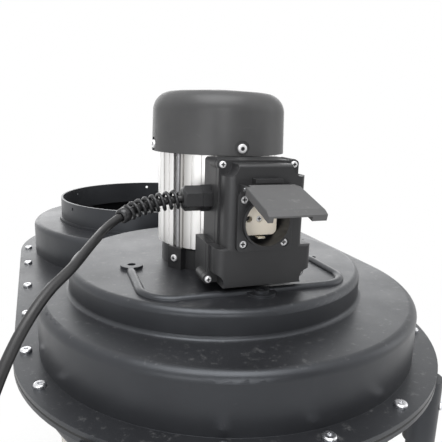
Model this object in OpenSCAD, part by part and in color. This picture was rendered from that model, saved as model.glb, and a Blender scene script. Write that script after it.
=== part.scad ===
// Chip extractor: a fan housing joined to a round separating chamber, an upright
// motor with a plug socket on its switch box, and a wheeled stand with a chip bag.
// Lengths are in millimetres. The origin is on the floor under the middle of the
// base plate. The chamber lies towards +Y and the switch box faces -Y.

/* [Housing] */
// Distance between the fan axis and the chamber axis
axis_gap = 352; // [340:1:370]
// Wall of the two moulded shells
wall = 3; // [2.4:0.1:4]
// Radius of the widest arc of the fan scroll
scroll_r = 199; // [190:1:210]
// Step from the widest arc to the next, along Y
scroll_step_y = 9; // [6:1:12]
// Step from the second arc to the narrowest, along X
scroll_step_x = 45; // [38:1:50]
// Outer radius of the chamber wall
chamber_r = 203; // [198:1:210]
// Radius of the raised disc that carries the motor
disc_r = 152; // [145:1:158]
// Height of the raised disc above the deck
disc_h = 25; // [18:1:32]
// Height of the deck above the upper flange
tier_h = 50; // [42:1:60]
// Depth of the fan part under the seam
low_fan_h = 46; // [40:1:60]
// Depth of the chamber part under the seam
low_chamber_h = 96; // [80:1:110]
// Width of the flange outside the walls
flange_w = 23; // [21:1:28]
// Thickness of each flange
flange_t = 4; // [3:0.5:6]
// Rounding of the long outer edges
edge_f = 8; // [5:1:10]
// Thickness of the foam seal between the flanges
seal_t = 2; // [1:0.5:3]
// Height of the seam above the floor
seam_z = 686; // [640:1:720]

/* [Collars and inlet] */
// Outer radius of the filter collar and of the chip collar
collar_r = 160; // [150:1:168]
// Height of the filter collar above the deck
collar_h = 35.5; // [25:0.5:45]
// Length of the chip collar below the chamber
low_collar_h = 42; // [32:1:50]
// Outer radius of the hose inlet
inlet_r = 50; // [45:1:55]
// Length of the hose inlet
inlet_l = 50; // [40:1:60]

/* [Motor] */
// Outer radius of the finned stator housing
stator_r = 61; // [58:0.5:63]
// Height of the lower end shield
shield_h = 22; // [20:1:25]
// Top of the stator housing above the disc
stator_top = 116; // [112:1:122]
// Radius of the fan cover at its lower edge
cover_r = 67.6; // [66.6:0.2:70]
// Height of the fan cover
cover_h = 58; // [54:1:64]
// Radius of the shaft in its bearings
shaft_r = 7.5; // [7:0.5:8]
// Outer radius of the bearings
bearing_r = 17.5; // [16:0.5:18]
// Width of the bearings
bearing_w = 11; // [10:0.5:12]

/* [Impeller] */
// Radius of the impeller
impeller_r = 125; // [115:1:130]
// Height of the impeller blades
blade_h = 72; // [60:1:78]
// Number of blades
blade_n = 8; // [6:1:10]
// Thickness of the impeller sheet
blade_t = 2; // [1.5:0.5:3]

/* [Switch box] */
// Distance of the box front from the motor axis
box_front = 120; // [116:1:124]
// Distance of the seam of the box from the motor axis
box_seam = 96; // [92:1:100]
// Left side of the upper part
box_up_x0 = -31.5; // [-34:0.5:-29]
// Right side of the upper part
box_up_x1 = 38.5; // [37:0.5:41]
// Left side of the lower part
box_low_x0 = -39; // [-42:0.5:-37]
// Right side of the lower part
box_low_x1 = 48; // [45:0.5:50]
// Underside of the box above the disc
box_z0 = 8; // [6:0.5:10]
// Step between the lower and the upper part
box_z1 = 41.5; // [40:0.5:43]
// Wall of the box
box_wall = 2.5; // [2:0.1:3]

/* [Socket] */
// Middle of the socket across the box
socket_x = 1.6; // [1:0.2:3]
// Middle of the socket above the disc
socket_z = 64; // [63.5:0.5:65]
// Side of the square socket frame
frame_w = 49; // [48:0.5:50]
// Thickness of the socket frame
frame_t = 4; // [3.5:0.1:5]
// Radius of the round socket well
well_r = 19.4; // [19.3:0.1:19.8]
// Depth of the well behind the face of its ring
well_d = 17.5; // [15:0.5:18]
// Distance between the frame screws
socket_pitch = 37; // [36.5:0.5:38]
// Distance between the two pin holes
pin_pitch = 19; // [18.5:0.5:19.5]
// Length of the lid
lid_l = 49.5; // [48.5:0.5:51]
// Thickness of the lid
lid_t = 7; // [6.5:0.5:8]
// Angle that the lid stands open
lid_open = 74; // [0:1:90]

/* [Stand] */
// Length of the base plate
base_l = 850; // [840:1:900]
// Width of the base plate
base_w = 490; // [480:1:520]
// Thickness of the base sheet
base_t = 2; // [1.5:0.5:4]
// Height of the folded rim
rim_h = 15; // [10:1:25]
// Radius of the castor wheels
wheel_r = 25; // [22:1:26]
// Width of the castor wheels
wheel_w = 18; // [16:1:20]
// Height of the castors
castor_h = 65; // [62:1:70]
// Distance of a swivel axis behind its wheel axle
trail = 18; // [15:1:20]
// Radius of the leg tubes
leg_r = 11; // [9:0.5:11]
// Wall of the leg tubes
leg_wall = 1.5; // [1:0.1:2.5]

/* [Chip bag] */
// Radius of the bag at its belly
bag_r = 178; // [170:1:184]
// Wall of the bag
bag_t = 1.5; // [1.2:0.1:2]
// Gap under the bag
bag_gap = 14; // [8:1:40]

/* [Mains lead] */
// Diameter of the lead
cord_d = 7; // [7:0.5:7.5]
// Number of loops in the coil
coil_loops = 4; // [3:1:5]
// Radius of the outer loops of the coil
coil_r = 47; // [47:1:52]

/* [Hidden] */
$fn = 96;
quarter = 90;
cut = 1;
seat = 0.02;
run = 0.05;
gap = 0.3;
tail = 2;

// Places that follow the main sizes
fan_x = -10;
fan_y = 9 - axis_gap / 2;
scroll_cx = 8;
scroll_cy = -5;
core_r = disc_r + 6;
chamber_dx = scroll_cx + scroll_r - chamber_r;
chamber_c = [chamber_dx, axis_gap];
low_top = seam_z;
up_z = seam_z + seal_t;
deck_z = up_z + flange_t + tier_h;
disc_z = deck_z + disc_h;
inner_f = edge_f - wall;
disc_f = 6;
arcs = [[scroll_cx, scroll_cy, scroll_r, 270],
  [scroll_cx, scroll_cy - scroll_step_y, scroll_r - scroll_step_y, 180],
  [scroll_cx - scroll_step_x, scroll_cy - scroll_step_y,
    scroll_r - scroll_step_y - scroll_step_x, quarter]];
side_c = [arcs[1][0], arcs[1][1]];
side_r = arcs[1][2];
side_v = chamber_c - side_c;
side_a = atan2(side_v[1], side_v[0]) + acos((side_r - chamber_r) / norm(side_v));

// Flange screws, as shares of each stretch of the flange
chamber_screw_shares = [0.06, 0.2, 0.36, 0.495, 0.63, 0.79];
left_screw_shares = [-0.03, 0.21, 0.49, 0.75, 1];
second_arc_shares = [0.22, 0.78];
first_arc_shares = [0.03, 0.27, 0.75];
right_screw_shares = [0.05, 0.3, 0.55, 0.8];
screw_off = flange_w / 2;
screw_r = 3;
screw_hole_r = 3.4;
head_r = 5.5;
head_h = 3.2;
nut_r = 5.6;
nut_h = 5;
function spin(a) = [cos(a), sin(a)];
function side_point(c, r) = c + r * spin(side_a);
flange_points = concat(
  [for (s = chamber_screw_shares) chamber_c + (chamber_r + screw_off) * spin(s * side_a)],
  [for (s = left_screw_shares) side_point(chamber_c, chamber_r + screw_off) * (1 - s)
    + side_point(side_c, side_r + screw_off) * s],
  [for (s = second_arc_shares) side_c + (side_r + screw_off) * spin(side_a + s * (270 - side_a))],
  [for (s = first_arc_shares) [scroll_cx, scroll_cy]
    + (scroll_r + screw_off) * spin(270 + s * quarter)],
  [for (s = right_screw_shares) [scroll_cx + scroll_r + screw_off,
    scroll_cy + s * (axis_gap - scroll_cy)]]);

// Legs and their sockets under the flange
leg_off = 14;
leg_angles = [52, 128];
leg_points = concat(
  [for (a = leg_angles) chamber_c + (chamber_r + leg_off) * spin(a)],
  [side_c + (side_r + leg_off) * spin(225), [scroll_cx, scroll_cy]
    + (scroll_r + leg_off) * spin(315)]);
socket_wall = 3.6;
leg_gap = 0.25;
leg_socket_l = 60;
leg_top_gap = 2;
leg_top_z = low_top - flange_t - leg_top_gap;
base_z = castor_h;
leg_z = base_z + base_t;
foot_w = 48;
foot_t = 3;
foot_bolt_off = 17;
leg_screw_drop = 22;
leg_screw_z = leg_top_z - leg_screw_drop;
leg_screw_r = 2;
leg_screw_l = 12;
leg_screw_head_r = 4;
leg_screw_head_h = 2;
leg_screw_f = 1;

// Cut-off wall between the scroll and the chamber
cutoff_r = core_r - wall;
cutoff_a0 = 58;
cutoff_sweep = 62;

// Raised bead and bosses on the disc
bead_half_x = 98;
bead_front = 117;
bead_w = 5;
bead_h = 3;
bead_corner_r = 30;
bead_back = -22;
boss_r = 13;
boss_rim_r = 7.5;
boss_h = 4;
boss_hole_r = 4;
boss_front = [3, -118];
boss_left = [-93, -21];
boss_right = [104, -31];
pad_r = 11;
pad_hole_r = 5;
small_hole_r = 3;
collar_wall = 3;
collar_foot_w = 3;
collar_foot_h = 4;
collar_hole_r = 2.5;
collar_hole_drop = 9;
collar_hole_n = 6;
collar_hole_share = 0.43;
motor_hole_r = 40;
motor_bolt_pcr = 49;
motor_bolt_a = -102;
inlet_ring_r = 92;
inlet_ring_h = 6;
inlet_wall = 3;
rib_n = 6;
rib_t = 3;
rib_l = 30;
rib_h = 28;

module edge_profile(r, h, f) {
  square([r - f, h]);
  square([r, h - f]);
  translate([r - f, h - f]) circle(f);
}
module at_fan(z) {
  translate([fan_x, fan_y, z]) children();
}
module at_chamber(z) {
  translate([fan_x + chamber_c[0], fan_y + chamber_c[1], z]) children();
}

// Solid form of the scroll, its core and the straight duct, shrunk by inset
module fan_form(inset, h, f) {
  for (a = arcs)
    translate([a[0], a[1], 0]) rotate([0, 0, a[3]])
      rotate_extrude(angle = quarter) edge_profile(a[2] - inset, h, f);
  rotate_extrude() edge_profile(core_r - inset, h, f);
  translate([scroll_cx, axis_gap, 0]) rotate([quarter, 0, 0])
    linear_extrude(axis_gap - scroll_cy) edge_profile(scroll_r - inset, h, f);
}
module chamber_form(inset, h, f) {
  translate([chamber_c[0], chamber_c[1], 0])
    rotate_extrude() edge_profile(chamber_r - inset, h, f);
}
module outline_2d(grow) {
  for (a = arcs)
    translate([a[0], a[1]]) rotate(a[3]) intersection() {
      circle(a[2] + grow);
      square(a[2] + grow);
    }
  circle(core_r + grow);
  translate(chamber_c) circle(chamber_r + grow);
  translate([scroll_cx, scroll_cy]) square([scroll_r + grow, axis_gap - scroll_cy]);
}
module flange_2d() {
  outline_2d(flange_w);
  polygon([side_c, side_point(side_c, side_r + flange_w),
    side_point(chamber_c, chamber_r + flange_w), chamber_c]);
}
module screw_holes(z, h) {
  for (p = flange_points) translate([p[0], p[1], z]) cylinder(r = screw_hole_r, h = h, $fn = 24);
}
module cutoff_wall(z, h) {
  translate([0, 0, z]) rotate([0, 0, cutoff_a0]) rotate_extrude(angle = cutoff_sweep)
    translate([cutoff_r - wall, 0]) square([wall, h]);
}
module bead_2d(grow) {
  half = bead_half_x + grow;
  r = bead_corner_r + grow;
  translate([-half, -bead_front - grow + r]) square([2 * half, bead_front]);
  translate([-half + r, -bead_front - grow]) square([2 * (half - r), bead_front]);
  for (s = [-1, 1]) translate([s * (half - r), -bead_front - grow + r]) circle(r);
}

// Upper shell with its flange, deck, motor disc and filter collar
module housing_top() {
  top_inside = deck_z - wall - up_z;
  color([0.2, 0.2, 0.21]) at_fan(0) difference() {
    union() {
      difference() {
        union() {
          translate([0, 0, up_z]) linear_extrude(flange_t) flange_2d();
          translate([0, 0, up_z]) fan_form(0, deck_z - up_z, edge_f);
          translate([0, 0, up_z]) chamber_form(0, deck_z - up_z, edge_f);
          translate([0, 0, up_z + flange_t]) rotate_extrude()
            edge_profile(disc_r, disc_z - up_z - flange_t, disc_f);
          translate([chamber_c[0], chamber_c[1], deck_z - wall])
            cylinder(r = collar_r, h = collar_h + wall);
          translate([chamber_c[0], chamber_c[1], deck_z - wall])
            cylinder(r = collar_r + collar_foot_w, h = collar_foot_h + wall);
          disc_features();
        }
        translate([0, 0, up_z - cut]) fan_form(wall, top_inside + cut, inner_f);
        translate([0, 0, up_z - cut]) chamber_form(wall, top_inside + cut, inner_f);
        translate([0, 0, up_z - cut]) cylinder(r = disc_r - wall, h = disc_z - wall - up_z + cut);
      }
      cutoff_wall(up_z, top_inside + wall / 2);
    }
    translate([chamber_c[0], chamber_c[1], up_z])
      cylinder(r = collar_r - collar_wall, h = disc_z - up_z + collar_h);
    translate([0, 0, disc_z - wall - cut]) cylinder(r = motor_hole_r, h = wall + 2 * cut);
    for (i = [0:3]) translate([0, 0, disc_z - wall - cut]) rotate([0, 0, motor_bolt_a + i * quarter])
      translate([motor_bolt_pcr, 0, 0]) cylinder(r = screw_hole_r, h = wall + 2 * cut, $fn = 24);
    for (p = [boss_front, boss_left]) translate([p[0], p[1], disc_z - wall - cut])
      cylinder(r = boss_hole_r, h = boss_h + wall + 2 * cut, $fn = 32);
    translate([boss_right[0], boss_right[1], disc_z - wall - cut])
      cylinder(r = small_hole_r, h = wall + 2 * cut, $fn = 32);
    for (i = [0:collar_hole_n - 1])
      translate([chamber_c[0], chamber_c[1], deck_z + collar_h - collar_hole_drop])
        rotate([0, 0, (i + collar_hole_share) * 360 / collar_hole_n]) rotate([0, quarter, 0])
          translate([0, 0, collar_r - collar_wall - cut])
            cylinder(r = collar_hole_r, h = collar_wall + 2 * cut, $fn = 24);
    screw_holes(up_z - cut, flange_t + 2 * cut);
  }
}
module disc_features() {
  translate([0, 0, disc_z - cut]) linear_extrude(bead_h + cut) intersection() {
    difference() {
      bead_2d(0);
      bead_2d(-bead_w);
    }
    translate([-disc_r, -disc_r]) square([2 * disc_r, disc_r + bead_back]);
  }
  translate([boss_front[0], boss_front[1], disc_z - cut]) cylinder(r = boss_r, h = boss_h / 2 + cut);
  translate([boss_front[0], boss_front[1], disc_z - cut]) cylinder(r = boss_rim_r, h = boss_h + cut);
  translate([boss_left[0], boss_left[1], disc_z - cut]) cylinder(r = pad_r, h = bead_h + cut);
}

// Lower shell with the leg sockets, and the inlet and chip collar under its floors
fan_floor = low_top - low_fan_h;
chamber_floor = low_top - low_chamber_h;
module housing_bottom() {
  color([0.2, 0.2, 0.21]) at_fan(0) difference() {
    union() {
      difference() {
        union() {
          translate([0, 0, low_top - flange_t]) linear_extrude(flange_t) flange_2d();
          translate([0, 0, low_top]) mirror([0, 0, 1]) fan_form(0, low_fan_h, edge_f);
          translate([0, 0, low_top]) mirror([0, 0, 1]) chamber_form(0, low_chamber_h, edge_f);
        }
        translate([0, 0, low_top + cut]) mirror([0, 0, 1])
          fan_form(wall, low_fan_h - wall + cut, inner_f);
        translate([0, 0, low_top + cut]) mirror([0, 0, 1])
          chamber_form(wall, low_chamber_h - wall + cut, inner_f);
      }
      cutoff_wall(fan_floor + wall / 2, low_fan_h - wall / 2);
      for (p = leg_points) leg_socket(p);
    }
    translate([0, 0, fan_floor - cut]) cylinder(r = inlet_ring_r - wall, h = wall + 2 * cut);
    translate([chamber_c[0], chamber_c[1], chamber_floor - cut])
      cylinder(r = collar_r - collar_wall, h = wall + 2 * cut);
    for (p = leg_points) {
      translate([p[0], p[1], leg_top_z - leg_socket_l - cut])
        cylinder(r = leg_r + leg_gap, h = leg_socket_l + cut + seat, $fn = 48);
      translate([p[0], p[1], leg_screw_z]) rotate([0, quarter, leg_screw_angle(p)])
        cylinder(r = leg_screw_r + leg_gap, h = leg_r + socket_wall + cut, $fn = 24);
    }
    screw_holes(low_top - flange_t - cut, flange_t + 2 * cut);
  }
}
module inlet_pipe() {
  color([0.2, 0.2, 0.21]) at_fan(0) {
    rotate_extrude() polygon([[inlet_r - inlet_wall, fan_floor - inlet_l], [inlet_r, fan_floor - inlet_l],
      [inlet_r, fan_floor - inlet_ring_h], [inlet_ring_r, fan_floor - inlet_ring_h],
      [inlet_ring_r, fan_floor], [inlet_ring_r - wall, fan_floor],
      [inlet_ring_r - wall, fan_floor - inlet_ring_h + wall],
      [inlet_r - inlet_wall, fan_floor - inlet_ring_h + wall]]);
    for (i = [0:rib_n - 1]) rotate([0, 0, (i + 0.5) * 360 / rib_n])
      translate([0, rib_t / 2, fan_floor - inlet_ring_h]) rotate([quarter, 0, 0]) linear_extrude(rib_t)
        polygon([[inlet_r - cut, cut], [inlet_r - cut, inlet_ring_h - rib_h],
          [inlet_r + rib_l, 0], [inlet_r + rib_l, cut]]);
  }
}
module bag_collar() {
  color([0.2, 0.2, 0.21]) at_chamber(chamber_floor - low_collar_h) rotate_extrude()
    translate([collar_r - collar_wall, 0]) square([collar_wall, low_collar_h]);
}
function leg_screw_angle(p) = p[1] > axis_gap / 2
  ? atan2(p[1] - chamber_c[1], p[0] - chamber_c[0]) : atan2(p[1], p[0]);
module leg_socket(p) {
  translate([p[0], p[1], leg_top_z - leg_socket_l])
    cylinder(r = leg_r + socket_wall, h = leg_socket_l + low_top - leg_top_z - flange_t / 2, $fn = 48);
}

module housing_seal() {
  color([0.12, 0.12, 0.12]) at_fan(seam_z) linear_extrude(seal_t) difference() {
    flange_2d();
    outline_2d(0);
    for (p = flange_points) translate(p) circle(screw_hole_r, $fn = 24);
  }
}
module flange_screws() {
  color([0.8, 0.8, 0.82]) for (p = flange_points) at_fan(0) translate([p[0], p[1], 0]) {
    translate([0, 0, low_top - flange_t - nut_h - tail])
      cylinder(r = screw_r, h = up_z - low_top + 2 * flange_t + nut_h + tail, $fn = 24);
    translate([0, 0, up_z + flange_t]) rotate_extrude($fn = 32) difference() {
      edge_profile(head_r, head_h, head_h / 2);
      translate([0, head_h / 2]) square([head_r / 3, head_h]);
    }
  }
}
module flange_nuts() {
  color([0.75, 0.75, 0.77]) for (p = flange_points) at_fan(0)
    translate([p[0], p[1], low_top - flange_t - nut_h]) difference() {
      cylinder(r = nut_r, h = nut_h, $fn = 6);
      translate([0, 0, -cut]) cylinder(r = screw_r + run, h = nut_h + 2 * cut, $fn = 24);
    }
}

// Steel plate inside the disc that stiffens the motor seat
plate_t = 3;
plate_half = 92;
plate_corner_r = 24;
plate_gap = 0.05;
motor_screw_head_h = 4;
motor_screw_l = 22;
motor_screw_hole_r = 3.1;
plate_z = -wall - plate_gap - plate_t;
module at_motor() {
  translate([fan_x, fan_y, disc_z]) children();
}
module motor_plate() {
  color([0.55, 0.55, 0.57]) at_motor() translate([0, 0, plate_z]) linear_extrude(plate_t) difference() {
    union() {
      square([2 * plate_half, 2 * (plate_half - plate_corner_r)], center = true);
      square([2 * (plate_half - plate_corner_r), 2 * plate_half], center = true);
      for (x = [-1, 1], y = [-1, 1])
        translate([x, y] * (plate_half - plate_corner_r)) circle(plate_corner_r);
    }
    circle(motor_hole_r);
    for (i = [0:3]) rotate(motor_bolt_a + i * quarter) translate([motor_bolt_pcr, 0])
      circle(screw_hole_r, $fn = 24);
  }
}
module motor_screws() {
  color([0.75, 0.75, 0.77]) at_motor() for (i = [0:3]) rotate([0, 0, motor_bolt_a + i * quarter])
    translate([motor_bolt_pcr, 0, plate_z - motor_screw_head_h]) {
      cylinder(r = nut_r, h = motor_screw_head_h, $fn = 6);
      cylinder(r = screw_r, h = motor_screw_l, $fn = 24);
    }
}

// Motor shell and what it holds
stator_bore_r = 54;
channel_w = 9;
channel_d = 5.4;
bolt_pcr = 58.2;
bolt_r = 2.3;
bolt_head_r = 4.4;
bolt_head_h = 3.5;
bolt_hole_r = 2.6;
lug_a = -147;
lug_w = 17;
lug_r = 63.5;
lug_in = 8;
shield_r = 57;
shield_f = 3;
lip_t = 3;
lip_h = 3;
earth_hole_r = 1.6;
earth_hole_l = 7;
motor_thread_l = 16;
spigot_r = motor_hole_r - 0.1;
hub_r = 22;
hub_h = 5;
seat_lip = 9;
shaft_hole_r = shaft_r + 2;
low_bearing_z = seat_lip + 2;
up_bearing_z = stator_top - bearing_w;
up_shield_t = 10;
up_shield_r = 63.4;
groove_n = 40;
groove_w = 1.8;
groove_d = 1.3;
pad_x0 = -24;
pad_x1 = 31;
pad_front = 64;
wire_hole_r = 11;
wire_hole_z = 74;
core_h = 56;
core_z = 42;
core_bore_r = 32.4;
slot_n = 18;
slot_w = 5;
slot_r0 = 34;
slot_r1 = 47;
coil_head_r0 = 36;
coil_head_r1 = 51;
coil_head_h = 11;
air_gap = 0.4;

module bolt_ring(r) {
  for (i = [0:3]) rotate([0, 0, lug_a + i * quarter]) translate([r, 0, 0]) children();
}
module stator_housing() {
  color([0.82, 0.83, 0.84]) at_motor() difference() {
    translate([0, 0, shield_h]) difference() {
      union() {
        linear_extrude(stator_top - shield_h) difference() {
          circle(stator_r);
          for (i = [0:groove_n - 1]) rotate((i + 0.5) * 360 / groove_n)
            translate([stator_r - groove_d, -groove_w / 2]) square([groove_d + cut, groove_w]);
        }
        translate([pad_x0, -pad_front, 0])
          cube([pad_x1 - pad_x0, pad_front - stator_bore_r, cover_z - gap - shield_h]);
      }
      translate([0, 0, -cut]) linear_extrude(stator_top) {
        circle(stator_bore_r);
        for (i = [0:3]) rotate(lug_a + i * quarter)
          translate([stator_r - channel_d, -channel_w / 2]) square([channel_d + cut, channel_w]);
      }
    }
    translate([0, -stator_bore_r + cut, wire_hole_z]) rotate([quarter, 0, 0])
      cylinder(r = wire_hole_r, h = pad_front - stator_bore_r + 2 * cut);
  }
}
module stator_core() {
  color([0.35, 0.35, 0.37]) at_motor() translate([0, 0, core_z]) linear_extrude(core_h) difference() {
    circle(stator_bore_r - seat);
    circle(core_bore_r);
    for (i = [0:slot_n - 1]) rotate(i * 360 / slot_n)
      translate([slot_r0, -slot_w / 2]) square([slot_r1 - slot_r0, slot_w]);
  }
}
module windings() {
  color([0.72, 0.4, 0.2]) at_motor() for (z = [core_z - coil_head_h, core_z + core_h])
    translate([0, 0, z]) rotate_extrude() {
      f = coil_head_h / 4;
      translate([coil_head_r0, f]) square([coil_head_r1 - coil_head_r0, coil_head_h - 2 * f]);
      translate([coil_head_r0 + f, 0]) square([coil_head_r1 - coil_head_r0 - 2 * f, coil_head_h]);
    }
}
module shield_lip(h) {
  difference() {
    cylinder(r = stator_bore_r - seat, h = h);
    translate([0, 0, -cut]) cylinder(r = stator_bore_r - lip_t, h = h + 2 * cut);
  }
}
module lower_shield() {
  color([0.13, 0.13, 0.14]) at_motor() difference() {
    union() {
      rotate_extrude() polygon([[0, 0], [shield_r, 0], [shield_r, shield_h - shield_f],
        [shield_r - shield_f, shield_h], [0, shield_h]]);
      translate([0, 0, -wall - plate_gap]) cylinder(r = spigot_r, h = wall + plate_gap + cut);
      translate([0, 0, shield_h - cut]) cylinder(r = hub_r, h = hub_h + cut);
      bolt_ring(shield_r - lug_in) translate([0, -lug_w / 2, 0])
        cube([lug_r - shield_r + lug_in, lug_w, shield_h]);
      translate([0, 0, shield_h - cut]) shield_lip(lip_h + cut);
    }
    translate([0, 0, -wall - cut]) cylinder(r = shaft_hole_r, h = shield_h + wall + hub_h);
    translate([0, 0, low_bearing_z]) cylinder(r = bearing_r + seat, h = shield_h + hub_h);
    bolt_ring(bolt_pcr) translate([0, 0, -cut]) cylinder(r = bolt_hole_r, h = shield_h + 2 * cut, $fn = 32);
    bolt_ring(bolt_pcr) translate([0, 0, -cut]) cylinder(r = bolt_head_r + gap, h = bolt_head_h + cut, $fn = 32);
    for (i = [0:3]) rotate([0, 0, motor_bolt_a + i * quarter]) translate([motor_bolt_pcr, 0, -cut])
      cylinder(r = motor_screw_hole_r, h = motor_thread_l + cut, $fn = 24);
    rotate([0, 0, lug_a]) translate([lug_r + cut - earth_hole_l, 0, shield_h / 2])
      rotate([0, quarter, 0]) cylinder(r = earth_hole_r, h = earth_hole_l, $fn = 24);
  }
}
module upper_shield() {
  color([0.13, 0.13, 0.14]) at_motor() difference() {
    union() {
      translate([0, 0, stator_top]) cylinder(r = up_shield_r, h = up_shield_t);
      translate([0, 0, up_bearing_z]) cylinder(r = hub_r, h = bearing_w + cut);
      translate([0, 0, stator_top - lip_h]) shield_lip(lip_h + cut);
    }
    translate([0, 0, up_bearing_z - cut]) cylinder(r = bearing_r + seat, h = bearing_w + cut);
    translate([0, 0, stator_top - cut]) cylinder(r = shaft_hole_r, h = up_shield_t + 2 * cut);
    bolt_ring(bolt_pcr) translate([0, 0, stator_top - cut])
      cylinder(r = bolt_hole_r, h = up_shield_t + 2 * cut, $fn = 32);
    cover_screw_ring() translate([up_shield_r - cover_screw_l, 0, 0]) rotate([0, quarter, 0])
      cylinder(r = cover_screw_r + run, h = cover_screw_l + cut, $fn = 24);
  }
}
race_share = 0.2;
module bearing(z) {
  ring_w = bearing_r - shaft_r;
  at_motor() translate([0, 0, z]) rotate_extrude() difference() {
    translate([shaft_r + seat, 0]) square([ring_w - seat, bearing_w]);
    for (y = [0, bearing_w]) translate([(bearing_r + shaft_r) / 2, y])
      square(ring_w * race_share * [2, 1], center = true);
  }
}
module lower_bearing() {
  color([0.7, 0.7, 0.72]) bearing(low_bearing_z);
}
module upper_bearing() {
  color([0.7, 0.7, 0.72]) bearing(up_bearing_z);
}
module through_bolts() {
  top = stator_top + up_shield_t;
  color([0.7, 0.7, 0.72]) at_motor() bolt_ring(bolt_pcr) {
    translate([0, 0, gap]) cylinder(r = bolt_head_r, h = bolt_head_h - gap, $fn = 6);
    translate([0, 0, gap]) cylinder(r = bolt_r, h = top + bolt_head_h, $fn = 24);
    translate([0, 0, top]) cylinder(r = bolt_head_r, h = bolt_head_h, $fn = 6);
  }
}

// Domed fan cover with a grille in its top
cover_wall = 2.2;
cover_skirt = 3;
cover_z = stator_top - cover_skirt;
cover_draft = 1.2;
dome_f = 19;
crown_h = 2;
crown_r = 20;
grille_r0 = 14;
grille_pitch = 8;
grille_n = 4;
grille_w = 4;
grille_gap_a = 14;
cover_screw_z = 119.5;
cover_screw_r = 2;
cover_screw_a = -89;
cover_screw_head_r = 4.3;
cover_screw_head_h = 2.4;
cover_screw_f = 1;
cover_screw_l = 9;
dimple_r = 7;
dimple_wall = 1.2;
dimple_d = 1.6;
module cover_profile(inset) {
  r = cover_r - inset;
  h = cover_h - inset;
  f = dome_f - inset;
  r_top = r - cover_draft;
  polygon([[0, 0], [r, 0], [r_top, h - f], [0, h - f]]);
  translate([r_top - f, h - f]) circle(f);
  polygon([[0, 0], [r_top - f, 0], [r_top - f, h], [crown_r, h + crown_h], [0, h + crown_h]]);
}
module cover_screw_ring() {
  for (i = [0:3]) rotate([0, 0, cover_screw_a + i * quarter]) translate([0, 0, cover_screw_z]) children();
}
module fan_cover() {
  color([0.24, 0.24, 0.25]) at_motor() difference() {
    union() {
      translate([0, 0, cover_z]) rotate_extrude() difference() {
        cover_profile(0);
        translate([0, -cut]) cover_profile(cover_wall);
        translate([0, -2 * cut]) square([cover_r - cover_wall, 3 * cut]);
      }
      cover_screw_ring() translate([up_shield_r - cut, 0, 0]) rotate([0, quarter, 0])
        cylinder(r = dimple_r + dimple_wall, h = cover_r - dimple_d - up_shield_r + cut);
    }
    cover_screw_ring() translate([cover_r - dimple_d, 0, 0]) rotate([0, quarter, 0])
      cylinder(r = dimple_r, h = cover_wall + cut);
    cover_screw_ring() translate([up_shield_r - cut, 0, 0]) rotate([0, quarter, 0])
      cylinder(r = cover_screw_r + gap, h = cover_r - up_shield_r, $fn = 24);
    for (k = [0:grille_n - 1], i = [0:5]) {
      r = grille_r0 + k * grille_pitch;
      translate([0, 0, cover_z + cover_h - dome_f]) rotate([0, 0, i * 60 + grille_gap_a / 2])
        rotate_extrude(angle = 60 - grille_gap_a) translate([r, 0]) square([grille_w, dome_f + 2 * crown_h]);
    }
    translate([0, 0, cover_z - cut]) cylinder(r = up_shield_r + seat, h = cover_h / 2);
    translate([0, 0, cover_z - dimple_r]) cylinder(r = cover_r + cut, h = dimple_r);
  }
}
module fan_cover_screws() {
  color([0.85, 0.85, 0.86]) at_motor() cover_screw_ring() {
    translate([cover_r - dimple_d, 0, 0]) rotate([0, quarter, 0]) rotate_extrude($fn = 32)
      edge_profile(cover_screw_head_r, cover_screw_head_h, cover_screw_f);
    translate([up_shield_r - cover_screw_l, 0, 0]) rotate([0, quarter, 0])
      cylinder(r = cover_screw_r, h = cover_r - dimple_d - up_shield_r + cover_screw_l + cut, $fn = 24);
  }
}

// Rotor: shaft, cage, cooling fan and impeller turn together
shaft_core_r = 8.5;
shaft_end_r = 6;
shaft_top = 150;
back_z = -19;
hub_low = 30;
impeller_hub_r = 17;
nut_stack_h = 8;
shaft_step = 0.5;
thread_end = 6;
shoulder_gap = 4;
hub_grip_r = shaft_r - shaft_step;
shaft_bottom = back_z - hub_low - nut_stack_h - thread_end;
shoulder_z = back_z + blade_t + shoulder_gap;
cool_z = 131;
cool_r = 52;
cool_h = 20;
cool_hub_r = 13;
cool_hub_h = 18;
cool_t = 1.5;
cool_n = 8;
eye_r = 45;
blade_arc_r = 100;
blade_lean = 110;
blade_sweep = 48;
module rotor_shaft() {
  color([0.7, 0.7, 0.72]) at_motor() rotate_extrude($fn = 64) polygon([[0, shaft_bottom],
    [shaft_end_r, shaft_bottom], [shaft_end_r, back_z - hub_low], [hub_grip_r, back_z - hub_low],
    [hub_grip_r, shoulder_z], [shaft_r, shoulder_z], [shaft_r, low_bearing_z + bearing_w],
    [shaft_core_r, low_bearing_z + bearing_w], [shaft_core_r, up_bearing_z], [shaft_r, up_bearing_z],
    [shaft_r, cool_z], [hub_grip_r, cool_z], [hub_grip_r, shaft_top], [0, shaft_top]]);
}
end_ring_r = 28;
end_ring_h = 5;
module rotor_core() {
  top = core_z + core_h;
  color([0.45, 0.45, 0.47]) at_motor() rotate_extrude() polygon([[shaft_core_r + seat, core_z - end_ring_h],
    [end_ring_r, core_z - end_ring_h], [end_ring_r, core_z], [core_bore_r - air_gap, core_z],
    [core_bore_r - air_gap, top], [end_ring_r, top], [end_ring_r, top + end_ring_h],
    [shaft_core_r + seat, top + end_ring_h]]);
}
module cooling_fan() {
  color([0.15, 0.15, 0.16]) at_motor() translate([0, 0, cool_z]) difference() {
    union() {
      cylinder(r = cool_r, h = cool_t);
      cylinder(r = cool_hub_r, h = cool_hub_h);
      for (i = [0:cool_n - 1]) rotate([0, 0, i * 360 / cool_n])
        translate([cool_hub_r - cut, -cool_t / 2, 0]) cube([cool_r - cool_hub_r, cool_t, cool_h]);
    }
    translate([0, 0, -cut]) cylinder(r = hub_grip_r + seat, h = cool_h + 2 * cut, $fn = 64);
  }
}
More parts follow.
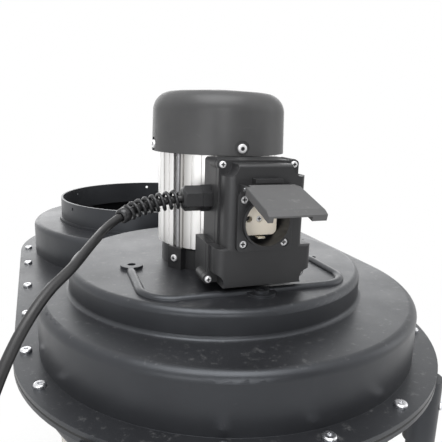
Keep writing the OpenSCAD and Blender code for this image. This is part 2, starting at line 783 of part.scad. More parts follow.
module impeller() {
  blade_c = eye_r * spin(0) + blade_arc_r * spin(blade_lean);
  color([0.5, 0.5, 0.52]) at_motor() difference() {
    union() {
      translate([0, 0, back_z]) cylinder(r = impeller_r, h = blade_t);
      translate([0, 0, back_z - hub_low]) cylinder(r = impeller_hub_r, h = hub_low + blade_t);
      for (i = [0:blade_n - 1]) rotate([0, 0, i * 360 / blade_n])
        translate([blade_c[0], blade_c[1], back_z - blade_h]) rotate([0, 0, blade_lean - 180])
          rotate_extrude(angle = blade_sweep) translate([blade_arc_r, 0])
            square([blade_t, blade_h + blade_t / 2]);
    }
    translate([0, 0, back_z - hub_low - cut])
      cylinder(r = hub_grip_r + seat, h = hub_low + blade_t + 2 * cut, $fn = 64);
  }
}
shaft_nut_r = 11;
washer_r = 13;
washer_t = 2;
module impeller_nut() {
  z = back_z - hub_low - nut_stack_h;
  color([0.7, 0.7, 0.72]) at_motor() difference() {
    union() {
      translate([0, 0, z]) cylinder(r = shaft_nut_r, h = nut_stack_h - washer_t, $fn = 6);
      translate([0, 0, z + nut_stack_h - washer_t]) cylinder(r = washer_r, h = washer_t);
    }
    translate([0, 0, z - cut]) cylinder(r = shaft_end_r + seat, h = nut_stack_h + 2 * cut, $fn = 64);
  }
}

// Switch box on the side of the motor
seal_gap = 1.5;
cover_back = box_seam + seal_gap;
box_grow = 1.5;
box_rim_h = 2;
box_top_gap = 0.5;
box_z2 = cover_z - box_rim_h - box_top_gap;
box_left_f = 8;
box_right_f = 4;
box_top_f = 3;
rim_f = 3;
inner_box_f = 1;
screw_in_left = 1.5;
screw_in_right = 3.5;
screw_out_low = 1.2;
screw_drop = 1.5;
screw_lift = 3.3;
box_screws = [[box_up_x0 + screw_in_left, box_z2 - screw_drop], [box_up_x1 - screw_in_right, box_z2 - screw_drop],
  [box_low_x0 - screw_out_low, box_z0 + screw_lift], [box_low_x1 - screw_out_low, box_z0 + screw_lift]];
box_lug_r = 4.5;
box_lug_l = 16;
notch_r = 8.5;
box_ledge = 103;
box_screw_r = 2;
box_screw_head_r = 2.9;
box_screw_head_h = 2.4;
box_screw_f = 1;
box_screw_l = 18;
base_back = pad_front;

// A box block: its outline from above cut to its outline from the side
module block_2d(x0, x1, n0, n1, f_left, f_right) {
  translate([x0, -n1 + f_left]) square([x1 - x0 - f_right, n1 - n0 - f_left]);
  translate([x0 + f_left, -n1 + f_right]) square([x1 - x0 - f_left, n1 - n0 - f_right]);
  translate([x0 + f_left, -n1]) square([x1 - x0 - f_left - f_right, n1 - n0]);
  translate([x0 + f_left, -n1 + f_left]) circle(f_left, $fn = 48);
  translate([x1 - f_right, -n1 + f_right]) circle(f_right, $fn = 48);
}
module side_2d(n0, n1, z0, z1, f) {
  translate([n0, z0]) square([n1 - n0 - f, z1 - z0]);
  translate([n0, z0]) square([n1 - n0, z1 - z0 - f]);
  translate([n1 - f, z1 - f]) circle(f, $fn = 48);
}
module block(x0, x1, n0, n1, z0, z1, f_left, f_right, f_top) {
  intersection() {
    translate([0, 0, z0]) linear_extrude(z1 - z0) block_2d(x0, x1, n0, n1, f_left, f_right);
    translate([x0 - cut, 0, 0]) rotate([quarter, 0, quarter]) linear_extrude(x1 - x0 + 2 * cut)
      mirror([1, 0]) side_2d(n0, n1, z0, z1, f_top);
  }
}
module raised_blocks() {
  block(box_up_x0, box_up_x1, cover_back, box_front, box_z0, box_z2, box_left_f, box_right_f, box_top_f);
  block(box_low_x0, box_low_x1, cover_back, box_front, box_z0, box_z1, box_left_f, box_right_f, box_top_f);
}
module hollow(n0, n1, f_left) {
  w = box_wall;
  f = inner_box_f;
  block(box_up_x0 + w, box_up_x1 - w, n0, n1, box_z0 + w, box_z2 - w, f_left, f, f);
  block(box_low_x0 + w, box_low_x1 - w, n0, n1, box_z0 + w, box_z1 - w, f_left, f, f);
}

// Outline of the rim: two rounded blocks with a lug round each screw
module rim_2d(grow) {
  f = rim_f;
  x0 = box_up_x0 - grow;
  x1 = box_up_x1 + grow;
  z2 = box_z2 + box_rim_h;
  translate([x0, box_z0]) square([x1 - x0, z2 - f - box_z0]);
  translate([x0 + f, box_z0]) square([x1 - x0 - 2 * f, z2 - box_z0]);
  for (x = [x0 + f, x1 - f]) translate([x, z2 - f]) circle(f, $fn = 48);
  translate([box_low_x0 - grow, box_z0]) square([box_low_x1 - box_low_x0 + 2 * grow, box_z1 - box_z0]);
}
module lugs_2d() {
  for (p = box_screws) translate(p) circle(box_lug_r, $fn = 48);
}
module at_face(n) {
  translate([0, -n, 0]) rotate([quarter, 0, 0]) children();
}
module rim(n0, n1) {
  at_face(n0) linear_extrude(n1 - n0) {
    rim_2d(box_grow);
    lugs_2d();
  }
}
module box_holes(r, n0, n1) {
  for (p = box_screws) at_face(n0) translate([p[0], p[1], 0]) cylinder(r = r, h = n1 - n0, $fn = 24);
}
module box_cover() {
  color([0.2, 0.2, 0.21]) at_motor() difference() {
    union() {
      difference() {
        union() {
          raised_blocks();
          rim(cover_back, box_ledge);
        }
        hollow(cover_back - cut, box_front - box_wall, box_left_f - box_wall);
      }
      intersection() {
        at_face(cover_back) linear_extrude(box_front - cover_back - box_wall)
          for (p = box_screws) translate(p) circle(notch_r + box_wall);
        raised_blocks();
      }
      intersection() {
        rim(cover_back, box_ledge);
        at_face(cover_back) linear_extrude(box_ledge - cover_back) lugs_2d();
      }
    }
    for (p = box_screws) at_face(box_ledge) translate([p[0], p[1], 0])
      cylinder(r = notch_r, h = box_front - box_ledge + cut);
    box_holes(box_screw_r + gap, cover_back - cut, box_ledge + cut);
    at_face(box_front - box_wall - cut) translate([socket_x, socket_z, 0])
      cylinder(r = cup_r + gap, h = box_wall + 2 * cut);
  }
}
module box_base() {
  w = box_wall;
  color([0.17, 0.17, 0.18]) at_motor() difference() {
    union() {
      difference() {
        at_face(base_back) linear_extrude(box_seam - base_back) rim_2d(box_grow);
        hollow(base_back + w, box_seam + cut, inner_box_f);
      }
      at_face(box_seam - box_lug_l) linear_extrude(box_lug_l) lugs_2d();
    }
    box_holes(box_screw_r + seat, box_ledge - box_screw_l, box_seam + cut);
    at_face(base_back - cut) translate([0, wire_hole_z, 0]) cylinder(r = wire_hole_r, h = w + 2 * cut);
    translate([gland_x - cut, -gland_n, gland_z]) rotate([0, quarter, 0])
      cylinder(r = gland_thread_r + seat, h = box_wall + box_grow + 2 * cut, $fn = 48);
  }
}
module box_seal() {
  color([0.1, 0.1, 0.1]) at_motor() difference() {
    union() {
      difference() {
        rim(box_seam, cover_back);
        hollow(box_seam - cut, cover_back + cut, inner_box_f);
      }
      at_face(box_seam) linear_extrude(seal_gap) lugs_2d();
    }
    box_holes(box_screw_r + gap, box_seam - cut, cover_back + cut);
  }
}
module box_cover_screws() {
  color([0.85, 0.85, 0.86]) at_motor() {
    for (p = box_screws) at_face(box_ledge) translate([p[0], p[1], 0]) rotate_extrude($fn = 32)
      edge_profile(box_screw_head_r, box_screw_head_h, box_screw_f);
    box_holes(box_screw_r, box_ledge - box_screw_l, box_ledge + cut);
  }
}
cap_r = 12;
cap_l = 62;
cap_f = 2;
cap_x = -30;
cap_n = base_back + box_wall + cap_r;
module run_capacitor() {
  color([0.85, 0.85, 0.83]) at_motor() translate([cap_x, -cap_n, box_z0 + box_wall + cap_r])
    rotate([0, quarter, 0]) rotate_extrude() edge_profile(cap_r, cap_l, cap_f);
}
board_t = 1.6;
board_w = 50;
board_h = 44;
board_z = 47;
foot_l = 3.5;
foot_s = 6;
foot_in = 3;
relay_size = [20, 15, 28];
relay_place = [26, 0, 8];
choke_size = [14, 10, 12];
choke_place = [6, 0, 26];
module relay_board() {
  back = base_back + box_wall + foot_l;
  color([0.1, 0.35, 0.2]) at_motor() translate([socket_x - board_w / 2, -back, board_z]) {
    translate([0, -board_t, 0]) cube([board_w, board_t, board_h]);
    translate(relay_place - [0, relay_size[1] + board_t, 0]) cube(relay_size);
    translate(choke_place - [0, choke_size[1] + board_t, 0]) cube(choke_size);
    for (x = [foot_in, board_w - foot_in - foot_s], z = [foot_in, board_h - foot_in - foot_s])
      translate([x, 0, z]) cube([foot_s, foot_l, foot_s]);
  }
}

// Panel socket with its hinged lid
cup_wall = 1.6;
cup_r = well_r + cup_wall;
frame_front = box_front + frame_t;
frame_f = 4;
socket_screw_r = 1.7;
socket_head_r = 3.3;
socket_head_h = 1.4;
sink_d = 3;
socket_head_f = 0.6;
insert_w = 32;
insert_h = 28;
insert_t = 6;
insert_f = 5;
ring_h = 5;
ring_w = 1.6;
insert_face = frame_front + ring_h - well_d;
cup_back = insert_face - insert_t - cup_wall;
pin_hole_r = 2.8;
earth_w = 7;
earth_t = 1.2;
earth_l = 6;
axis_off = 9;
axis_n = frame_front + axis_off;
hinge_r = 1.5;
barrel_r = 2.6;
lid_w = 46.5;
lid_wall = 1.6;
rim_gap = 0.5;
lid_back = 1.5;
ear_w = 3;
ear_gap = 0.3;
slope_l = 6;
slope_d = 2.5;
scoop_in = 4;
scoop_out = 12;
scoop_d = 3.5;
hood_w = 24;
hood_front = frame_front + 4;
hood_h = 3.4;
hood_rise = 32.2;
hood_z = socket_z + hood_rise;
hood_dx = 0.2;
hinge_rise = 28.4;
neck_z = socket_z + frame_w / 2 - frame_f;
axis_z = socket_z + hinge_rise;
pin_over = 0.5;
lid_f = 1;
function socket_corners() = [for (x = [-1, 1], z = [-1, 1])
  [socket_x + x * socket_pitch / 2, socket_z + z * socket_pitch / 2]];
module frame_plate_2d(half, f) {
  square([2 * half, 2 * (half - f)], center = true);
  square([2 * (half - f), 2 * half], center = true);
  for (x = [-1, 1], z = [-1, 1]) translate([x, z] * (half - f)) circle(f, $fn = 32);
}
module socket_frame() {
  lid_x0 = socket_x - lid_w / 2;
  lid_x1 = socket_x + lid_w / 2;
  hood_x = socket_x + hood_dx - hood_w / 2;
  color([0.14, 0.14, 0.15]) at_motor() difference() {
    union() {
      translate([socket_x, -box_front, socket_z]) rotate([quarter, 0, 0])
        linear_extrude(frame_t) frame_plate_2d(frame_w / 2, frame_f);
      translate([socket_x, -cup_back, socket_z]) rotate([quarter, 0, 0])
        cylinder(r = cup_r, h = box_front - cup_back + cut);
      translate([socket_x, -box_front, socket_z]) rotate([quarter, 0, 0])
        cylinder(r = well_r + ring_w, h = frame_t + ring_h);
      for (x = [lid_x0, lid_x1 - ear_w]) {
        translate([x, -axis_n, axis_z]) rotate([0, quarter, 0])
          cylinder(r = barrel_r, h = ear_w, $fn = 48);
        translate([x, -axis_n, axis_z - barrel_r]) cube([ear_w, axis_n - box_front, 2 * barrel_r]);
        translate([x, -frame_front, neck_z]) cube([ear_w, frame_t, axis_z - neck_z]);
      }
      translate([hood_x, -hood_front, hood_z]) cube([hood_w, hood_front - box_front, hood_h]);
      translate([hood_x, -box_front - frame_t / 2, neck_z])
        cube([hood_w, frame_t / 2, hood_z - neck_z + cut]);
    }
    translate([socket_x, -cup_back - cup_wall, socket_z]) rotate([quarter, 0, 0])
      cylinder(r = well_r, h = well_d + insert_t + cut);
    for (p = socket_corners()) {
      translate([p[0], -box_front + cut, p[1]]) rotate([quarter, 0, 0])
        cylinder(r = socket_screw_r + gap, h = frame_t + 2 * cut, $fn = 24);
      translate([p[0], -frame_front + sink_d, p[1]]) rotate([quarter, 0, 0])
        cylinder(r = socket_head_r + gap, h = sink_d + cut, $fn = 32);
    }
    translate([lid_x0 - cut, -axis_n, axis_z]) rotate([0, quarter, 0])
      cylinder(r = hinge_r + seat, h = lid_w + 2 * cut, $fn = 32);
  }
}
module lid_hinge_pin() {
  color([0.7, 0.7, 0.72]) at_motor() translate([socket_x - lid_w / 2 - pin_over, -axis_n, axis_z])
    rotate([0, quarter, 0]) cylinder(r = hinge_r, h = lid_w + 2 * pin_over, $fn = 32);
}

// The lid in its closed place, then swung open about its pin
module closed_lid() {
  back = frame_front + ring_h + rim_gap;
  front = back + lid_t;
  top = axis_z + lid_back;
  ear_room = ear_w + ear_gap;
  x0 = socket_x - lid_w / 2;
  difference() {
    union() {
      difference() {
        block(x0, x0 + lid_w, back, front, top - lid_l, top, lid_f, lid_f, lid_f);
        translate([x0 + lid_wall, -front + lid_wall, top - lid_l + slope_l])
          cube([lid_w - 2 * lid_wall, front - back, lid_l - slope_l - lid_wall]);
      }
      translate([x0 + ear_room, -axis_n, axis_z]) rotate([0, quarter, 0])
        cylinder(r = barrel_r, h = lid_w - 2 * ear_room, $fn = 48);
      translate([x0 + ear_room, -front + lid_wall / 2, axis_z - barrel_r])
        cube([lid_w - 2 * ear_room, front - axis_n - lid_wall / 2, barrel_r + lid_back - lid_wall / 2]);
    }
    for (x = [x0 - cut, x0 + lid_w - ear_room])
      translate([x, -front - cut, axis_z - barrel_r - ear_gap])
        cube([ear_room + cut, lid_t + 2 * cut, 2 * (barrel_r + ear_gap)]);
    translate([x0 - cut, 0, top - lid_l]) rotate([quarter, 0, quarter]) linear_extrude(lid_w + 2 * cut)
      polygon([[-front - cut, -cut], [-front + slope_d, -cut], [-front, slope_l], [-front - cut, slope_l]]);
    translate([x0 + scoop_in, -back - scoop_d, top - lid_l - cut])
      cube([lid_w - scoop_in - scoop_out, scoop_d + cut, slope_l + 2 * cut]);
    translate([x0, -axis_n, axis_z]) rotate([0, quarter, 0])
      cylinder(r = hinge_r + run, h = lid_w, $fn = 32);
  }
}
module socket_lid() {
  color([0.22, 0.22, 0.23]) at_motor() translate([0, -axis_n, axis_z]) rotate([-lid_open, 0, 0])
    translate([0, axis_n, -axis_z]) closed_lid();
}
module socket_insert() {
  color([0.86, 0.8, 0.68]) at_motor() difference() {
    at_face(insert_face - insert_t) translate([socket_x, socket_z, 0]) linear_extrude(insert_t) {
      square([insert_w, insert_h - 2 * insert_f], center = true);
      square([insert_w - 2 * insert_f, insert_h], center = true);
      for (x = [-1, 1], z = [-1, 1])
        translate([x * (insert_w / 2 - insert_f), z * (insert_h / 2 - insert_f)])
          circle(insert_f, $fn = 32);
    }
    for (x = [-1, 1]) at_face(insert_face - insert_t - cut)
      translate([socket_x + x * pin_pitch / 2, socket_z, 0])
        cylinder(r = pin_hole_r, h = insert_t + 2 * cut, $fn = 48);
    at_face(insert_face - insert_t / 3) translate([socket_x, socket_z, 0])
      cylinder(r = pin_hole_r, h = insert_t, $fn = 48);
  }
}
module socket_contacts() {
  color([0.8, 0.72, 0.4]) at_motor() for (s = [-1, 1])
    translate([socket_x - earth_w / 2, -insert_face - earth_l,
      socket_z + s * (insert_h / 2 + earth_t) - earth_t / 2])
      cube([earth_w, earth_l + insert_t, earth_t]);
}
module socket_screws() {
  color([0.85, 0.85, 0.86]) at_motor() for (p = socket_corners()) translate([p[0], 0, p[1]]) {
    translate([0, -frame_front + sink_d, 0]) rotate([quarter, 0, 0]) rotate_extrude($fn = 32)
      edge_profile(socket_head_r, socket_head_h, socket_head_f);
    translate([0, -box_front + cut / 2, 0]) rotate([quarter, 0, 0])
      cylinder(r = socket_screw_r, h = frame_t - sink_d + cut, $fn = 24);
  }
}

// Cable gland, its spiral guard and the lead
gland_n = 79;
gland_z = 77.5;
gland_thread_r = 7.8;
gland_hex_r = 11.8;
gland_hex_l = 8;
gland_nut_r = 11.2;
gland_nut_l = 17;
gland_dome = 3;
gland_in = 10;
cable_room = 1;
gland_x = box_up_x0 - box_grow;
cord_r = cord_d / 2;
gland_mouth = gland_x - gland_hex_l - gland_nut_l;
module at_gland(x) {
  at_motor() translate([x, -gland_n, gland_z]) rotate([0, -quarter, 0]) children();
}
module gland_body() {
  color([0.12, 0.12, 0.13]) difference() {
    union() {
      at_gland(gland_x) cylinder(r = gland_hex_r, h = gland_hex_l, $fn = 6);
      at_gland(gland_x + gland_in) cylinder(r = gland_thread_r, h = gland_in + gland_hex_l, $fn = 48);
      at_gland(gland_x - gland_hex_l) cylinder(r = gland_thread_r, h = gland_nut_l / 2, $fn = 48);
    }
    at_gland(gland_x + gland_in + cut)
      cylinder(r = cord_r + cable_room, h = gland_in + gland_hex_l + gland_nut_l, $fn = 48);
  }
}
module gland_nut() {
  color([0.12, 0.12, 0.13]) difference() {
    intersection() {
      at_gland(gland_x - gland_hex_l - seat) cylinder(r = gland_nut_r, h = gland_nut_l - seat, $fn = 6);
      at_gland(gland_x - gland_hex_l - seat) rotate_extrude() polygon([[0, 0], [gland_nut_r, 0],
        [gland_nut_r, gland_nut_l - gland_dome], [gland_nut_r - gland_dome, gland_nut_l],
        [0, gland_nut_l]]);
    }
    at_gland(gland_x - gland_hex_l + cut)
      cylinder(r = gland_thread_r + seat, h = gland_nut_l / 2 + cut + seat, $fn = 48);
    at_gland(gland_x - gland_hex_l + cut) cylinder(r = cord_r + seat, h = gland_nut_l + 2 * cut, $fn = 48);
  }
}

// Route of the lead in the frame of the whole object: out of the gland, round in
// front of the housing, down to the floor and along it to the coil
route = [[-66, -246, 844.5], [-80, -246, 843], [-94, -247, 840.5], [-107, -250, 837.5],
  [-119, -256, 833.5], [-128, -264, 830], [-136, -275, 826.5], [-148, -299, 821],
  [-161, -324, 814], [-175, -343, 806.5], [-186, -357, 796], [-196, -369, 781.5],
  [-206, -382, 761], [-216, -396, 733], [-226, -410, 695], [-235, -423, 645],
  [-243, -433, 577], [-248, -439, 487], [-250, -441, 377], [-250, -441, 247],
  [-250, -441, 127], [-250, -441, 67], [-250, -441, 53.5], [-251.5, -441, 40.5], [-256.5, -441, 28.5],
  [-264.5, -441, 18], [-275, -441, 10], [-287, -441, 5], [-300, -441, 3.5]];
tail_route = [[-316, -441, 11.1], [-326, -441, 12], [-337, -441, 15], [-348, -441, 17.6]];
coil_c = [-308, -394];
ring_step = 2.6 * cord_d;
cord_sides = 8;
wire_sides = 6;
loop_rings = 24;
coil_pitch = 7.7;
layer_rise = 7.6;
coil_lead = 8;
reference = [0.5, -0.6, 0.62];
function sum(v, i = 0) = i >= len(v) ? 0 : v[i] + sum(v, i + 1);
function path_length(p) = sum([for (i = [1:len(p) - 1]) norm(p[i] - p[i - 1])]);
function unit(v) = v / norm(v);

// One point on the smooth curve through four neighbours
function smooth(a, b, c, d, t) = 0.5 * (2 * b + (c - a) * t + (2 * a - 5 * b + 4 * c - d) * t * t
  + (3 * b - a - 3 * c + d) * t * t * t);
function fine_path(p, step) = concat(
  [for (i = [0:len(p) - 2]) let (n = max(1, round(norm(p[i + 1] - p[i]) / step)))
    for (k = [0:n - 1]) smooth(p[max(i - 1, 0)], p[i], p[i + 1], p[min(i + 2, len(p) - 1)], k / n)],
  [p[len(p) - 1]]);
function path_dir(p, i) = unit(p[min(i + 1, len(p) - 1)] - p[max(i - 1, 0)]);
module tube(p, r, sides, refs = []) {
  n = len(p);
  rings = [for (i = [0:n - 1]) let (d = path_dir(p, i), u = unit(cross(d, len(refs) > 0 ? refs[i] : reference)),
    v = cross(d, u))
    for (k = [0:sides - 1]) p[i] + r * (cos(k * 360 / sides) * u + sin(k * 360 / sides) * v)];
  walls = [for (i = [0:n - 2], k = [0:sides - 1]) let (a = i * sides + k, b = i * sides + (k + 1) % sides)
    for (f = [[a, b + sides, b], [a, a + sides, b + sides]]) f];
  polyhedron(concat(rings, [p[0], p[n - 1]]), concat(walls,
    [for (k = [0:sides - 1]) [n * sides, k, (k + 1) % sides]],
    [for (k = [0:sides - 1]) [n * sides + 1, (n - 1) * sides + (k + 1) % sides, (n - 1) * sides + k]]));
}
lead_path = fine_path(route, ring_step);
tail_path = fine_path(tail_route, ring_step);

// Coil: spirals in on the floor, climbs one layer and spirals out again
function coil_radius(t) = coil_r - coil_pitch * (coil_loops / 2 - abs(t - coil_loops / 2));
function climb(t) = min(1, max(0, 2 * (t - coil_loops / 2) + 0.5));
function coil_point(t) = let (a = -quarter - 360 * t)
  [coil_c[0] + coil_radius(t) * cos(a), coil_c[1] + coil_radius(t) * sin(a), cord_r + layer_rise * climb(t)];
coil_path = concat([coil_point(0) + [coil_lead, 0, 0]], [for (i = [0:coil_loops * loop_rings])
  coil_point(i / loop_rings)], [coil_point(coil_loops) - [coil_lead, 0, 0]]);
coil_gap = min([for (i = [0:len(coil_path) - 1]) let (later = i + loop_rings / 2)
  if (later < len(coil_path)) min([for (j = [later:len(coil_path) - 1])
    norm(coil_path[i] - coil_path[j])])]) - cord_d;
echo(lead_length = path_length(lead_path), coil_length = path_length(coil_path), coil_gap = coil_gap);
module cord_free() {
  color([0.1, 0.1, 0.11]) {
    tube(lead_path, cord_r, cord_sides);
    tube(tail_path, cord_r, cord_sides);
  }
}
module cord_coil() {
  color([0.1, 0.1, 0.11]) tube(coil_path, cord_r, wire_sides, [for (p = coil_path) [0, 0, 1]]);
}

// Spiral bend guard: a tapering spring of plastic round the lead, ending in a collar
guard_turns = 8;
guard_rings = 8;
guard_wire_r = 1.5;
guard_r0 = 7.2;
guard_r1 = 5.9;
guard_pitch = 6;
collar_l = 8;
collar_ring_r = 6.4;
cord_in = 2;
guard_l = guard_turns * guard_pitch;
guard_s0 = cord_in + guard_wire_r + seat;
function walk(p, s, i = 0) = i >= len(p) - 2 || s <= norm(p[i + 1] - p[i])
  ? p[i] + unit(p[i + 1] - p[i]) * s : walk(p, s - norm(p[i + 1] - p[i]), i + 1);
function walk_dir(p, s) = unit(walk(p, s + cord_r) - walk(p, max(0, s - cord_r)));
guard_path = fine_path(route, cord_d / 2);
guard_shares = [for (i = [0:guard_turns * guard_rings]) i / (guard_turns * guard_rings)];
guard_axes = [for (t = guard_shares) walk_dir(guard_path, guard_s0 + t * guard_l)];
guard_points = [for (i = [0:len(guard_shares) - 1]) let (t = guard_shares[i], d = guard_axes[i],
  u = unit(cross(d, reference)), v = cross(d, u), a = i * 360 / guard_rings,
  r = guard_r0 + t * (guard_r1 - guard_r0))
  walk(guard_path, guard_s0 + t * guard_l) + r * (cos(a) * u + sin(a) * v)];
module bend_guard() {
  s0 = guard_s0 + guard_l;
  p0 = walk(guard_path, s0 - cut);
  d = walk_dir(guard_path, s0 + collar_l / 2);
  color([0.12, 0.12, 0.13]) {
    tube(guard_points, guard_wire_r, wire_sides, guard_axes);
    translate(p0) rotate([0, acos(d[2]), atan2(d[1], d[0])]) difference() {
      cylinder(r = collar_ring_r, h = collar_l, $fn = 32);
      translate([0, 0, -cut]) cylinder(r = cord_r + 2 * gap, h = collar_l + 2 * cut, $fn = 32);
    }
  }
}

// Mains plug lying on the floor beside the coil
plug_r = 18.5;
plug_face_l = 17;
plug_grip_r = 12;
plug_grip_l = 24;
plug_neck_l = 10;
plug_tail_r = 6.5;
plug_cone = 3;
plug_l = 44;
plug_tilt = 2;
plug_pin_r = 2.4;
plug_pin_l = 19;
plug_pin_f = 1;
plug_slot_r = 3;
plug_c = tail_route[len(tail_route) - 1];
module at_plug() {
  translate(plug_c) rotate([0, plug_tilt - quarter, 0]) children();
}
module plug_body() {
  color([0.1, 0.1, 0.11]) at_plug() difference() {
    rotate_extrude($fn = 64) polygon([[0, 0], [plug_tail_r, 0], [plug_tail_r, plug_neck_l],
      [plug_grip_r, plug_neck_l + plug_cone], [plug_grip_r, plug_grip_l],
      [plug_r, plug_grip_l + plug_cone], [plug_r, plug_l], [0, plug_l]]);
    for (s = [-1, 1]) translate([s * plug_r, 0, plug_l - plug_face_l + plug_slot_r])
      cylinder(r = plug_slot_r, h = plug_face_l, $fn = 32);
  }
}
module plug_pins() {
  color([0.8, 0.8, 0.8]) at_plug() for (s = [-1, 1]) translate([0, s * pin_pitch / 2, plug_l])
    rotate_extrude($fn = 32) edge_profile(plug_pin_r, plug_pin_l, plug_pin_f);
}

// Legs, base plate and castors
function at_row(p) = [p[0] + fan_x, p[1] + fan_y];
module legs() {
  color([0.13, 0.13, 0.14]) for (q = leg_points) let (p = at_row(q)) translate([p[0], p[1], 0]) difference() {
    union() {
      translate([0, 0, leg_z]) cylinder(r = leg_r, h = leg_top_z - leg_z, $fn = 48);
      translate([-foot_w / 2, -foot_w / 2, leg_z]) cube([foot_w, foot_w, foot_t]);
    }
    translate([0, 0, leg_z - cut]) cylinder(r = leg_r - leg_wall, h = leg_top_z - leg_z + 2 * cut, $fn = 48);
    for (s = [-1, 1]) translate([s * foot_bolt_off, s * foot_bolt_off, leg_z - cut])
      cylinder(r = screw_hole_r, h = foot_t + 2 * cut, $fn = 24);
    translate([0, 0, leg_screw_z]) rotate([0, quarter, leg_screw_angle(q)])
      cylinder(r = leg_screw_r + leg_gap, h = leg_r + cut, $fn = 24);
  }
}
module leg_screws() {
  color([0.8, 0.8, 0.82]) for (q = leg_points) let (p = at_row(q)) translate([p[0], p[1], leg_screw_z])
    rotate([0, quarter, leg_screw_angle(q)]) {
      translate([0, 0, leg_r + socket_wall - leg_screw_l])
        cylinder(r = leg_screw_r, h = leg_screw_l + cut, $fn = 24);
      translate([0, 0, leg_r + socket_wall]) rotate_extrude($fn = 32)
        edge_profile(leg_screw_head_r, leg_screw_head_h, leg_screw_f);
    }
}
module foot_bolts() {
  color([0.75, 0.75, 0.77]) for (q = leg_points, s = [-1, 1]) let (p = at_row(q))
    translate([p[0] + s * foot_bolt_off, p[1] + s * foot_bolt_off, 0]) {
      translate([0, 0, base_z - nut_h - tail])
        cylinder(r = screw_r, h = nut_h + base_t + foot_t + tail + cut, $fn = 24);
      translate([0, 0, leg_z + foot_t]) rotate_extrude($fn = 32) edge_profile(head_r, head_h, head_h / 2);
      translate([0, 0, base_z - nut_h]) cylinder(r = nut_r, h = nut_h, $fn = 6);
    }
}
base_f = 40;
castor_in_x = 47;
castor_in_y = 47;
castor_x = base_w / 2 - castor_in_x;
castor_y = base_l / 2 - castor_in_y;
castor_hole = 19;
castor_plate_w = 52;
castor_plate_t = 2.5;
small_step = 1;
raceway_r = 15;
raceway_h = 3;
kingpin_head = 3;
fork_half = 12;
eye_w = 8;
axle_end = 3;
axle_nut_r = 5;
swivel_gap = 0.4;
swivel_top = castor_h - castor_plate_t - swivel_gap - raceway_h;
fork_t = 2.5;
fork_gap = 1;
fork_in = wheel_w / 2 + fork_gap;
axle_r = 3;
kingpin_r = 4;
kingpin_l = 9;
castor_corners = [[-castor_x, -castor_y], [castor_x, -castor_y], [-castor_x, castor_y], [castor_x, castor_y]];
module base_outline(inset) {
  w = base_w - 2 * inset;
  l = base_l - 2 * inset;
  f = base_f - inset;
  square([w, l - 2 * f], center = true);
  square([w - 2 * f, l], center = true);
  for (x = [-1, 1], y = [-1, 1]) translate([x * (w / 2 - f), y * (l / 2 - f)]) circle(f);
}
module castor_holes() {
  for (c = castor_corners, x = [-1, 1], y = [-1, 1])
    translate([c[0] + x * castor_hole, c[1] + y * castor_hole]) circle(screw_hole_r, $fn = 24);
}
module base_plate() {
  color([0.16, 0.16, 0.17]) translate([0, 0, base_z]) difference() {
    linear_extrude(rim_h) base_outline(0);
    translate([0, 0, base_t]) linear_extrude(rim_h) base_outline(base_t);
    translate([0, 0, -cut]) linear_extrude(base_t + 2 * cut) {
      castor_holes();
      for (q = leg_points, s = [-1, 1]) let (p = at_row(q))
        translate([p[0] + s * foot_bolt_off, p[1] + s * foot_bolt_off]) circle(screw_hole_r, $fn = 24);
    }
  }
}
module castor_bolts() {
  color([0.75, 0.75, 0.77]) for (c = castor_corners, x = [-1, 1], y = [-1, 1])
    translate([c[0] + x * castor_hole, c[1] + y * castor_hole, 0]) {
      low = base_z - castor_plate_t - nut_h;
      translate([0, 0, low - small_step]) cylinder(r = screw_r, h = leg_z - low + small_step + cut, $fn = 24);
      translate([0, 0, leg_z]) rotate_extrude($fn = 32)
        edge_profile(head_r - small_step, head_h, head_h / 2);
      translate([0, 0, low]) cylinder(r = nut_r - small_step / 2, h = nut_h, $fn = 6);
    }
}
module castor_plate_2d() {
  difference() {
    square(castor_plate_w, center = true);
    for (x = [-1, 1], y = [-1, 1]) translate([x, y] * castor_hole) circle(screw_hole_r, $fn = 24);
  }
}

// Two cheeks and a bridge round a wheel; the wheel stands back along +Y
module fork(back, top) {
  for (x = [fork_in, -fork_in - fork_t]) translate([x, 0, 0]) rotate([quarter, 0, quarter])
    linear_extrude(fork_t) difference() {
      union() {
        translate([back, wheel_r]) circle(eye_w, $fn = 48);
        polygon([[back - eye_w, wheel_r], [back + eye_w, wheel_r], [fork_half, top], [-fork_half, top]]);
      }
      translate([back, wheel_r]) circle(axle_r + seat, $fn = 32);
    }
  translate([-fork_in - fork_t, -fork_half, top - fork_t]) difference() {
    cube([2 * (fork_in + fork_t), 2 * fork_half, fork_t]);
    translate([fork_in + fork_t, fork_half, -cut])
      cylinder(r = kingpin_r + run, h = fork_t + 2 * cut, $fn = 48);
  }
}
module swivel_plates() {
  low = castor_h - castor_plate_t;
  color([0.6, 0.6, 0.62]) for (c = [castor_corners[0], castor_corners[1]]) translate([c[0], c[1], 0]) {
    translate([0, 0, low]) linear_extrude(castor_plate_t) castor_plate_2d();
    translate([0, 0, low - raceway_h]) cylinder(r = raceway_r, h = raceway_h);
    translate([0, 0, low - kingpin_l]) cylinder(r = kingpin_r, h = kingpin_l, $fn = 48);
    translate([0, 0, low - kingpin_l]) cylinder(r = kingpin_r + kingpin_head, h = kingpin_head - small_step);
  }
}
module fixed_forks() {
  color([0.6, 0.6, 0.62]) for (c = [castor_corners[2], castor_corners[3]]) translate([c[0], c[1], 0]) {
    translate([0, 0, castor_h - castor_plate_t]) linear_extrude(castor_plate_t) castor_plate_2d();
    fork(0, castor_h - castor_plate_t);
  }
}
module axle(c, back) {
  half = fork_in + fork_t;
  translate([c[0] - half - axle_end, c[1] + back, wheel_r]) rotate([0, quarter, 0])
    cylinder(r = axle_r, h = 2 * (half + axle_end), $fn = 32);
  for (x = [half, -half - axle_end]) translate([c[0] + x, c[1] + back, wheel_r])
    rotate([0, quarter, 0]) cylinder(r = axle_nut_r, h = axle_end, $fn = 6);
}
